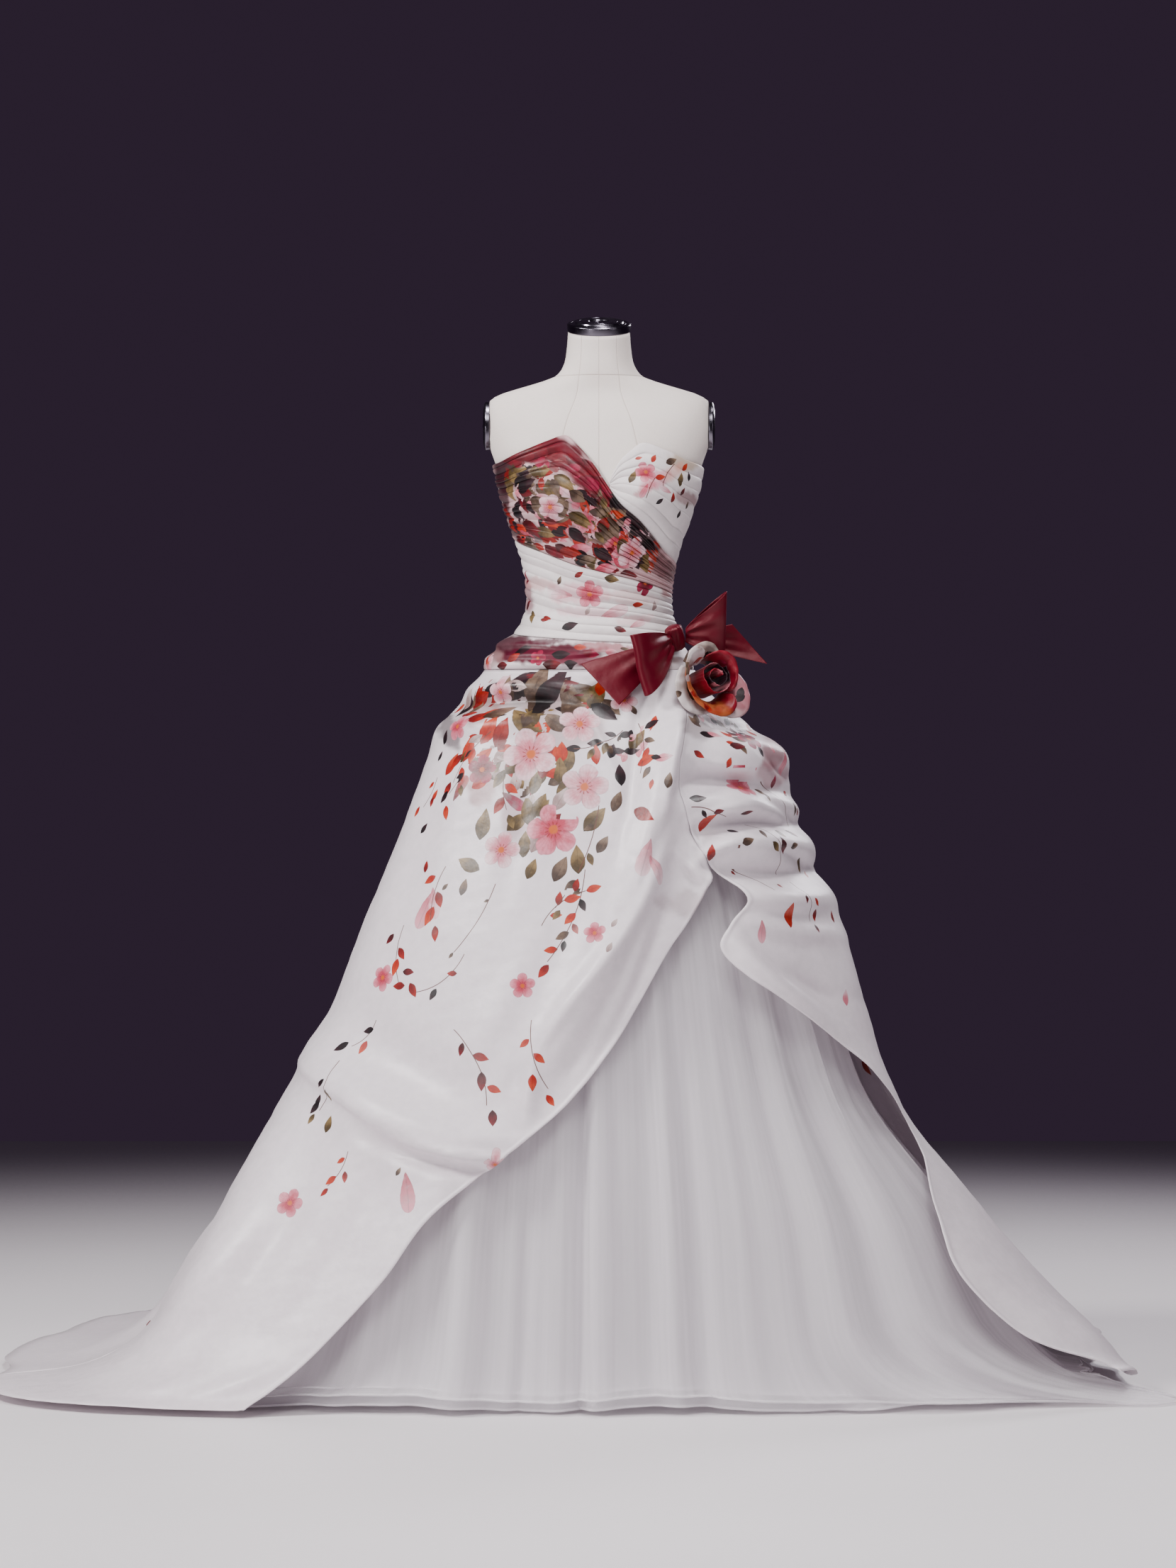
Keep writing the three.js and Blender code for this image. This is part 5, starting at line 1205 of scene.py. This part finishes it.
def ring(columns, rows):
    """Angles and falls of a layer all round. Its columns lie closest in front, its rows towards the hem."""
    turn = np.linspace(-math.pi, math.pi, columns, endpoint=False)[:, None]
    t = np.linspace(0, 1, rows)[None, :]
    angle, fall = turn - 0.55 * np.sin(turn), 0.62 * t + 0.38 * np.sin(0.5 * math.pi * t)
    return angle + 0 * fall, fall + 0 * angle


def make_nets():
    """The outer net, one inside it, and the close layer under them."""
    outer = moved_out(net_point(*ring(504, 56), fine=FINE_FLUTES), CLOTH, closed=True, level=1.0)
    angle, fall = ring(400, 48)
    inner = net_point(angle + 0.11, fall, fine=FINE_FLUTES, inside=14, rise=9)
    close = under_point(LINING_LAYER, *ring(300, 44), fine=FINE_FLUTES)
    close = moved_out(close, CLOTH, closed=True, level=1.0)
    layers = [("tulle_outer", outer, 1.6), ("tulle_inner", inner, 1.4), ("lining_skirt", close, 1.8)]
    return [Cloth(name, with_rolled_hem(points, roll), closed=True) for name, points, roll in layers]


# The bow's knot: its place round the hip and its height, its half sizes, its tip, and how far out it sits.
BOW_ANGLE, BOW_Z, BOW_TIP, BOW_OUT = 56, 1139, -22, 6.1
BOW_WIDE, BOW_HIGH, BOW_DEEP, BOW_WAIST = 15, 19, 13, 9
# Loops: the far edge's middle, how it is turned and leans, half its length, the puff, the gap to the knot.
BOW_LOOPS = [
    ("left", 60, -183, 1097, -13, 4, 47, 15, 1.1), ("right", 192, -92, 1163, 1, 18, 47, 17, 0.2),
]
# Tails: the far edge's middle, how it is turned and leans, half its length, the start, the bulge, the wave.
BOW_TAILS = [
    ("left", 1, -167, 1068, -42, -14, 43, 2, 3, 4), ("right", 228, -62, 1130, -42, 0, 40, 9.6, 0, -4),
]
# Petals: middle and half of their arc, foot and flare from the middle, height of the foot and of the rim.
PETALS = [
    (160, 64, 26.6, 28, 10.8, 62), (250, 76, 27.6, 31, 14, 61), (28, 65, 26.1, 17, 13, 56),
    (208, 56, 32.2, 38, 22, 50), (322, 52, 31, 40, 18, 44), (92, 50, 29.8, 24, 8, 40),
]


def upright_of(turn, lean):
    """Which way a ribbon's edge stands, turned to the side and leant to the front, in degrees."""
    side, front = math.radians(turn), math.radians(lean)
    way = np.array([math.sin(side), -math.sin(front), math.cos(side) * math.cos(front)])
    return way / np.linalg.norm(way)


def bow_knot(knot, seat):
    """A rounded barrel with pinched ends and folds along it, tipped on the hip."""
    u, v = grid(72, 40)
    a, t = FULL_TURN * u, 1 - 2 * v
    slim = 0.72 + 0.28 * np.sqrt(1 - 0.9 * t * t) - 0.22 * smooth(np.abs(t), 0.86, 1)
    thick = slim * (1 + 0.05 * np.sin(9 * a + 1.2 * t) + 0.03 * np.sin(15 * a - 2 * t + 1))
    local = np.stack([BOW_WIDE * thick * np.cos(a), BOW_DEEP * thick * np.sin(a), BOW_HIGH * t], -1)
    turn = np.array(Euler((0, math.radians(BOW_TIP), seat), "XYZ").to_matrix())
    return Cloth("bow_knot", (local @ turn.T + knot)[:-1], closed=True)


def bow_loop(knot, side, x, y, z, lean_side, lean, wide, puff, clear):
    """A ribbon that leaves the knot in front, turns at its far edge and comes back behind.

    Its way out is a cosine of the turn and its way forward a sine of it, with creases that fan out.
    """
    run = np.array([x, y, z]) - knot
    start = run * (BOW_WIDE + clear) / np.linalg.norm(run)
    upright = upright_of(lean_side, lean)
    front = np.cross(run, upright)
    front *= -np.sign(front[1]) / np.linalg.norm(front)
    u, v = grid(96, 56)
    turn = FULL_TURN * (0.035 + 0.93 * u)
    out = 0.5 - 0.5 * np.cos(turn)
    across = (2 * v - 1) * lerp(BOW_WAIST, wide, power(out, 0.8))
    crease = 1.6 * np.cos(3 * math.pi * v) * (1 - out)
    crease = crease + 1.7 * np.sin(19 * v + 2.2 * out) * (1 - out) ** 0.7 * smooth(out, 0.0, 0.2)
    crease = crease + 1.2 * np.sin(8 * v + 4 * out + len(side)) * out
    forward = puff * np.sin(turn) * (0.4 + 0.6 * out) + crease
    surface = knot + start + (run - start) * out[..., None] + upright * across[..., None]
    surface = surface + front * forward[..., None]
    return Cloth(f"bow_loop_{side}", moved_out(surface, RIBBON))


def bow_tail(knot, side, x, y, z, lean_side, lean, wide, begin, bulge, wave):
    """A straight ribbon that widens to its free end, bulged by a parabola and creased by sines."""
    root = knot + np.array([0, begin, -3])
    run = np.array([x, y, z]) - root
    u, v = grid(64, 56)
    across = (2 * v - 1) * lerp(BOW_WAIST - 1, wide, power(u, 0.8))
    forward = wave * np.sin(3 * v) * u + 4 * bulge * u * (1 - u)
    forward = forward + 1.5 * np.sin(15 * v + 2 * u) * (1 - u) ** 0.8 + 0.9 * np.sin(7 * v - 5 * u) * u
    surface = root + run * (0.18 + 0.82 * u)[..., None]
    surface = surface + upright_of(lean_side, lean) * across[..., None]
    surface[..., 1] -= forward
    return Cloth(f"bow_tail_{side}", moved_out(surface, RIBBON))


def make_bow():
    """The knot on the hip, two loops and two tails."""
    seat = np.array([[math.radians(BOW_ANGLE)]])
    knot = hip_point(seat, np.zeros((1, 1)))[0, 0]
    knot = knot + outward_at(seat)[0, 0] * (CLOTH + BOW_DEEP + BOW_OUT)
    knot[2] = BOW_Z
    loops = [bow_loop(knot, *row) for row in BOW_LOOPS]
    tails = [bow_tail(knot, *row) for row in BOW_TAILS]
    return [bow_knot(knot, float(seat[0, 0])), *loops, *tails]


def make_rosette():
    """A rolled strip with six petals round it, on the line that leads straight out from the overskirt.

    The strip is a spiral of 2.1 turns whose radius grows evenly. A petal is part of a cone: its radius
    grows with the square of its height, its rim is a rounded arch, and sines crimp both.
    """
    seat, fall = np.array([[math.radians(60)]]), np.array([[0.03]])
    foot = skirt_point(seat, fall)[0, 0] + outward_at(seat)[0, 0] * (CLOTH + 8.4)
    turn = np.array(Euler((math.radians(90 - 14), 0, math.radians(33)), "XYZ").to_matrix())
    made = []

    def on_flower(name, surface, ripple):
        made.append(Cloth(name, (moved_out(surface, CLOTH + ripple)) @ turn.T + foot))

    u, v = grid(210, 20)
    spin = FULL_TURN * 2.1 * u
    radius = lerp(5, 24.4, u)
    high = 60 * (1 - 0.12 * u) + 2 * np.sin(3.3 * spin) + 0.7 * np.sin(11 * spin)
    stand = lerp(high, 6, v)
    radius = radius + 1.6 * (1 - v) ** 3
    heart = np.stack([radius * np.cos(spin), radius * np.sin(spin), stand], -1)
    on_flower("rosette_heart", heart, 0.4 * np.sin(26 * spin + 3 * v) * (1 - v))
    for k, (middle, half, start, flare, low, rim) in enumerate(PETALS):
        u, v = grid(54, 34)
        spin = np.radians(middle + half * (2 * u - 1))
        edge, rise = 1 - (2 * u - 1) ** 2, 1 - v
        radius = start + flare * rise**2 * (0.4 + 0.6 * edge) + 2.5 * u
        radius = radius + 2.2 * rise**6 * np.sin(9 * u + k) + 3.0 * smooth(rise, 0.9, 1)
        top = rim * (0.7 + 0.3 * np.sqrt(np.maximum(edge, 0))) - 2.5 * smooth(rise, 0.93, 1)
        high = lerp(low, top, rise)
        petal = np.stack([radius * np.cos(spin), radius * np.sin(spin), high], -1)
        crimp = 0.8 * noise(u * 60, v * 20, 20 + k, 16) * rise + 0.5 * np.sin(40 * u + 5 * v + k) * rise**2
        on_flower(f"rosette_petal_{k + 1}", petal, crimp)
    return made


def make_form():
    """The padded form: its sections with faint grooves at the centre, princess, side and neck seams."""
    seams = np.radians([0, 33, 90, 147, 180, -147, -90, -33])
    even = np.linspace(-math.pi, math.pi, 96, endpoint=False) + 0.013
    near = (seams[:, None] + np.radians([-0.9, -0.35, 0, 0.35, 0.9])[None, :]).ravel()
    angle = np.unique(np.round((np.concatenate([even, near]) + math.pi) % FULL_TURN - math.pi, 6))[:, None]
    at_seam = NECK_SEAM + np.array([-1.6, -0.6, 0.05, 0.6, 1.6])
    rings = np.concatenate([np.linspace(FORM_FOOT, NECK_TOP, 120), at_seam])
    z = np.sort(rings)[::-1][None, :]
    off = np.min(np.abs((angle[..., None] - seams + math.pi) % FULL_TURN - math.pi), -1)
    down_seam = np.exp(-((np.degrees(off) / 0.3) ** 2)) + 0 * z
    neck_seam = np.exp(-(((z - NECK_SEAM) / 0.6) ** 2)) + 0 * angle
    groove = np.maximum(down_seam, neck_seam)
    points = form_point(angle + 0 * z, z + 0 * angle)
    pulled = 0.25 * noise(points[..., 0] * 2 + points[..., 1], points[..., 2], 31, 60)
    skin = moved_out(points, pulled * (1 - neck_seam) - 0.6 * groove, closed=True, level=1.0)
    cloth = Cloth("form_torso", skin, closed=True)
    cloth.paint((176, 158, 150), 0.55 * groove)
    return cloth


TURNED_EDGE = 0.9  # how far a turned corner is rounded on each side


def rounded(profile, radius):
    """A turned profile whose inner corners are rounded by short curves."""
    profile = np.array(profile, float)
    made = [profile[0]]
    for before, corner, after in zip(profile, profile[1:], profile[2:]):
        ends = []
        for other in (before, after):
            way = other - corner
            length = np.linalg.norm(way)
            ends.append(corner + way * min(radius / length, 0.45))
        for t in np.linspace(0, 1, 5):
            made.append((1 - t) ** 2 * ends[0] + 2 * t * (1 - t) * corner + t * t * ends[1])
    return np.array(made + [profile[-1]])


def turned_piece(name, profile, place, material):
    """A turned metal piece: its profile runs from the middle of its foot to the middle of its top."""
    profile = rounded(profile, TURNED_EDGE)
    count = 96
    angle = np.linspace(0, FULL_TURN, count, endpoint=False)[:, None]
    section = profile[1:-1][None, :, :]
    radius, high = section[..., 0], section[..., 1] + 0 * angle
    points = np.stack([radius * np.cos(angle), radius * np.sin(angle), high], -1)
    rows = points.shape[1]
    flat = points.reshape(-1, 3)
    ends = [[0, 0, profile[0][1]], [0, 0, profile[-1][1]]]
    flat = np.concatenate([flat, ends])
    quads = faces_of(count, rows, True)[:, ::-1].tolist()
    here = np.arange(count)
    after = (here + 1) % count
    foot, top, last = len(flat) - 2, len(flat) - 1, rows - 1
    quads += [[int(a * rows), foot, int(b * rows)] for a, b in zip(here, after)]
    quads += [[int(b * rows + last), top, int(a * rows + last)] for a, b in zip(here, after)]
    placed = flat @ np.array(place.to_3x3()).T + np.array(place.translation)
    piece = build_mesh(f"{name}_metal", placed, quads)
    cover(piece, material)
    dress(piece, [name])


def make_metal_parts(chrome):
    """The neck's sloping plate with its rings, and the two oval plates at the armholes."""
    seat = Matrix.Translation((0, 0, NECK_TOP)) @ Matrix.Rotation(NECK_TILT, 4, "X")
    cap = [(0, 0), (48, 0), (48.8, 11), (46.5, 13), (43, 13), (42.4, 12.2), (41.6, 12.2), (41, 13), (38, 13),
           (37, 16), (30, 16.4), (29.4, 15.6), (28.6, 15.6), (28, 16.4), (16, 16), (15, 14), (0, 14)]
    turned_piece("form_neck_cap", cap, seat @ Matrix.Translation((0, 0, SEAM)), chrome)
    plate = [(0, 0), (36, 0), (37, 6), (34, 8.2), (33, 7.8), (27, 10), (25, 8), (12, 8), (8, 9.2), (0, 11)]
    for word, side in (("left", -1), ("right", 1)):
        place = Matrix.Translation((side * (PLATE_FACE + SEAM), -2, PLATE_HEIGHT))
        place = place @ Matrix.Rotation(side * math.pi / 2, 4, "Y") @ Matrix.Diagonal((1, 0.76, 1, 1))
        turned_piece(f"form_arm_plate_{word}", plate, place, chrome)


def finish_solid(cloth, material, nodes):
    """A closed round body: the grid, and a fan of triangles from each end to a middle point of its own."""
    here, last = np.arange(cloth.columns) * cloth.rows, cloth.rows - 1
    after, top = np.roll(here, -1), len(cloth.flat)
    ends = np.concatenate([
        np.stack([here, after, np.full(len(here), top)], -1),
        np.stack([after + last, here + last, np.full(len(here), top + 1)], -1),
    ])
    points = np.concatenate([cloth.flat, [cloth.points[:, 0].mean(0), cloth.points[:, last].mean(0)]])
    piece = build_mesh(f"{cloth.name}_cloth", points, cloth.faces.tolist() + ends.tolist())
    at_ends = points[ends][..., :2].reshape(-1, 2) * MM
    corners = np.concatenate([cloth.corner_measures().reshape(-1, 2), at_ends])
    cover(piece, material, corners, np.concatenate([cloth.wash, np.ones((2, 4))]))
    dress(piece, nodes)


def light_studio():
    """A soft key at the front left, a weak fill at the right, one on the floor, a rim from behind."""
    for name, place, aim, size, watts, colour in LAMPS:
        data = bpy.data.lights.new(name, "AREA")
        data.shape, data.size, data.energy, data.color = "DISK", size, watts, colour
        lamp = bpy.data.objects.new(name, data)
        lamp.location = place
        lamp.rotation_euler = (Vector(aim) - Vector(place)).to_track_quat("-Z", "Y").to_euler()
        bpy.context.scene.collection.objects.link(lamp)
    world = bpy.data.worlds.new("studio")
    bpy.context.scene.world = world
    world.use_nodes = True
    around = world.node_tree.nodes["Background"].inputs
    around[0].default_value = opaque((50, 38, 54))
    around[1].default_value = 0.9


def floor_material():
    """A pale floor with painted shade: its colour darkens towards the far end, where the light falls off."""
    s = Material("pale_floor_painted_falloff")
    place = s.place()
    fine = s.noise(place, 90.0, 3.0)
    pale = s.mix(s.noise(place, 1.4, 3.0), opaque((236, 230, 233)), opaque((243, 239, 241)))
    away = s.node("ShaderNodeVectorMath", {0: place}, operation="LENGTH").outputs["Value"]
    # painted shade: darker from 1.4 m to 4.4 m out from the middle, standing in for the light falling off
    colour = s.mix(s.span(away, 1.4, 4.4, 0.0, 0.96), pale, opaque((58, 45, 62)))
    return s.closed(s.skin(colour, s.span(fine, 0.3, 0.7, 0.5, 0.62), s.bump(0.15, 0.001, fine), {}))


def make_floor():
    """A square of 8.8 m at the height of the floor."""
    side = 4400
    points = np.array([[-side, -side, 0], [side, -side, 0], [side, side, 0], [-side, side, 0]])
    plane = build_mesh("floor", points, [[0, 1, 2, 3]])
    plane.data.materials.append(floor_material())


def steel_on_stand():
    """The pole and the foot keep their solids and get brushed steel."""
    steel = metal_material("stand_steel", (96, 94, 98), 0.34)
    for piece in bpy.context.scene.objects:
        if piece.type == "MESH" and piece.name in ("stand_pole", "stand_foot"):
            for slot in piece.material_slots:
                slot.link = "OBJECT"
                slot.material = steel


def scatter(cloths, seed, count, zone, sizes, turns, inks, kind=LEAF):
    """Marks strewn over an ellipse of the front view: its middle, half width, half height and tilt."""
    x, z, wide, high, tilt = zone
    draw = np.random.default_rng(seed)
    a = math.radians(tilt)
    for _ in range(count):
        off, way = math.sqrt(draw.uniform(0, 1)), draw.uniform(0, FULL_TURN)
        p, q = wide * off * math.cos(way), high * off * math.sin(way)
        place = (x + p * math.cos(a) - q * math.sin(a), z + p * math.sin(a) + q * math.cos(a))
        ink = inks[draw.integers(len(inks))]
        stamp(cloths, kind, *place, draw.uniform(*turns), draw.uniform(*sizes), ink)


def strew(cloth, seed, count, across, down, sizes, inks, kind=LEAF):
    """Marks strewn over a stretch of a cloth's grid, given as shares across and down it."""
    draw = np.random.default_rng(seed)
    for _ in range(count):
        i = int(draw.uniform(*across) * (cloth.columns - 1))
        j = int(draw.uniform(*down) * (cloth.rows - 1))
        ink = inks[draw.integers(len(inks))]
        here = (cloth, i * cloth.rows + j)
        stamp([cloth], kind, 0, 0, draw.uniform(0, 360), draw.uniform(*sizes), ink, at=here)


def print_all(cloths, washes, marks):
    """Every wash on each cloth, then the marks, in the tables' order."""
    for cloth in cloths:
        for k, (x, z, wide, high, turn, colour, strength) in enumerate(washes):
            cloth.blot(x, z, wide, high, turn, colour, strength, seed=k + 1)
    for kind, x, z, turn, length, ink in marks:
        stamp(cloths, kind, x, z, turn, length, ink, bend=0.08 * length if kind == STEM else 0)


def print_bodice(fronts, backs):
    """Pale silk, then the tables of each panel. The wrap's marks lie close together."""
    for cloth in (*fronts, *backs):
        cloth.paint((250, 244, 244), 1)
    wrap, cup, waist = fronts
    wrap.paint((226, 196, 198), 1)
    print_all([wrap], WRAP_WASHES, [])
    print_all([cup], CUP_WASHES, CUP_MARKS)
    print_all([waist], WAIST_WASHES, WAIST_MARKS)
    for row in WRAP_STREWN:
        scatter([wrap], *row)
    for row in WRAP_LAST:
        stamp([wrap], LEAF, *row, PLUM)


def print_backs(bodice, skirts, band):
    """The hidden side: the same print, close together round the hips and on the left, sparse below."""
    for k, cloth in enumerate(bodice):
        down = cloth.shares_down()
        x, y, z = cloth.flat.T
        rough = noise(x + y, z, 70 + k, 60).reshape(down.shape)
        cloth.paint((150, 20, 62), (0.3 + 0.6 * k) * smooth(rough - 0.7 * down, -0.3, 0.3))
        cloth.paint((120, 92, 80), 0.6 * smooth(-rough - 0.5 * down, -0.1, 0.3))
        for seed, counts, *row in BODICE_BACK_STREWN:
            strew(cloth, seed + k, counts[k], *row)
    for k, cloth in enumerate(skirts):
        down = cloth.shares_down()
        x, _, z = cloth.flat.T
        rough = noise(x, z, 90 + k, 90).reshape(down.shape)
        cloth.paint((170, 146, 142), 0.6 * smooth(rough, 0, 0.5) * smooth(-down, -0.2, -0.04))
        for seed, *row in SKIRT_BACK_STREWN:
            strew(cloth, seed + k, *row)
    x, y, z = band.flat.T
    behind = smooth(y, -20, 60) * smooth(noise(x, z, 77, 90) - x / 300, -0.3, 0.3)
    band.paint((104, 8, 50), 0.9 * behind)
    strew(band, 104, 40, (0.5, 0.99), (0.1, 0.9), (18, 32), (*DARK, TAUPE, MAGENTA, ORANGE))


def print_rosette(heart, *petals):
    """Petals of white, orange-brown, wine and taupe, as parts of the print fall on them."""
    white, rust, crimson, dove = (241, 233, 232), (188, 114, 70), (158, 14, 56), (206, 192, 184)
    for cloth, colour in zip(petals, (white, rust, crimson, white, white, dove)):
        cloth.paint(colour, 1)
    heart.paint((64, 10, 40), 1)
    rolled = heart.shares_across()
    heart.paint((170, 14, 62), smooth(np.sin(9.3 * rolled + 0.6), 0.1, 0.9))
    heart.paint((226, 150, 160), 0.6 * smooth(np.sin(23 * rolled), 0.5, 0.95))
    for k, cloth in enumerate(petals):
        x, _, z = cloth.flat.mean(0)
        scatter([cloth], 40 + k, 7, (x, z, 26, 22, 0), (14, 26), (0, 360), PETAL_INKS[k])
        rough = noise(cloth.flat[:, 0], cloth.flat[:, 2], 50 + k, 30)
        cloth.paint(INKS[PETAL_INKS[k][0]][1], 0.5 * smooth(rough, 0.05, 0.5))
    left, low = petals[:2]
    left.paint(rust, smooth(left.shares_across(), 0.42, 0.58))
    low.paint(crimson, smooth(low.shares_across(), 0.7, 0.82))
    petals[4].paint((190, 40, 92), 0.75 * smooth(petals[4].shares_across(), 0.1, 0.6))
    for cloth in (left, low):
        freckled = noise(cloth.flat[:, 0], cloth.flat[:, 2], 61, 9)
        cloth.paint((150, 62, 28), 0.5 * smooth(freckled, 0.25, 0.5) * (cloth.wash[:, 0] < 0.7))


def print_skirts(skirts, band):
    """The band's print, then the overskirt's front: washes, marks, sprigs and strewn marks."""
    for cloth in skirts:
        cloth.paint((247, 240, 244), 1)
    band.paint((244, 234, 236), 1)
    print_all([band], BAND_WASHES, BAND_MARKS)
    front = skirts[:2]
    print_all(front, SKIRT_WASHES, SKIRT_MARKS)
    for row in SPRIGS:
        sprig(front, *row)
    for row in SKIRT_STREWN:
        scatter(front, *row)


def main():
    """Makes the camera, the materials, each piece with its print, the floor and the lamps."""
    make_camera()
    group = print_group()
    silk = silk_material("printed_silk", group, 0.42, 0.45)
    organza = silk_material("printed_organza", group, 0.36, 0.6)
    net_look = net_material("net", (253, 250, 253), 0.46, 0.74)
    lining_look = net_material("close_net", (253, 250, 253), 1.0, 1.0)
    satin, linen = satin_material(), linen_material()
    chrome = metal_material("dark_chrome", (120, 116, 126), 0.16)

    finish_solid(make_form(), linen, ["form_torso"])
    make_metal_parts(chrome)
    steel_on_stand()

    fronts, backs = make_bodice()
    band = make_hip_band()
    skirts = make_overskirt()
    rosette = make_rosette()
    print_bodice(fronts, backs)
    print_skirts(skirts, band)
    print_backs(backs, skirts[2:], band)
    print_rosette(*rosette)
    for cloth in [*fronts, *backs, band, *rosette]:
        finish_cloth(cloth, silk, [cloth.name])
    for cloth in skirts:
        finish_cloth(cloth, organza, [cloth.name])
    net, net_inside, lining = make_nets()
    finish_cloth(net, net_look, ["tulle_skirt_front", "tulle_skirt_back"], 0)
    finish_cloth(net_inside, net_look, [], 0)
    close_nodes = ["lining_skirt_front", "lining_skirt_back_right", "lining_skirt_back_left"]
    finish_cloth(lining, lining_look, close_nodes, 0)
    knot, *ribbons = make_bow()
    finish_solid(knot, satin, ["bow_knot"])
    for cloth in ribbons:
        finish_cloth(cloth, satin, [cloth.name])
    make_floor()
    light_studio()


main()
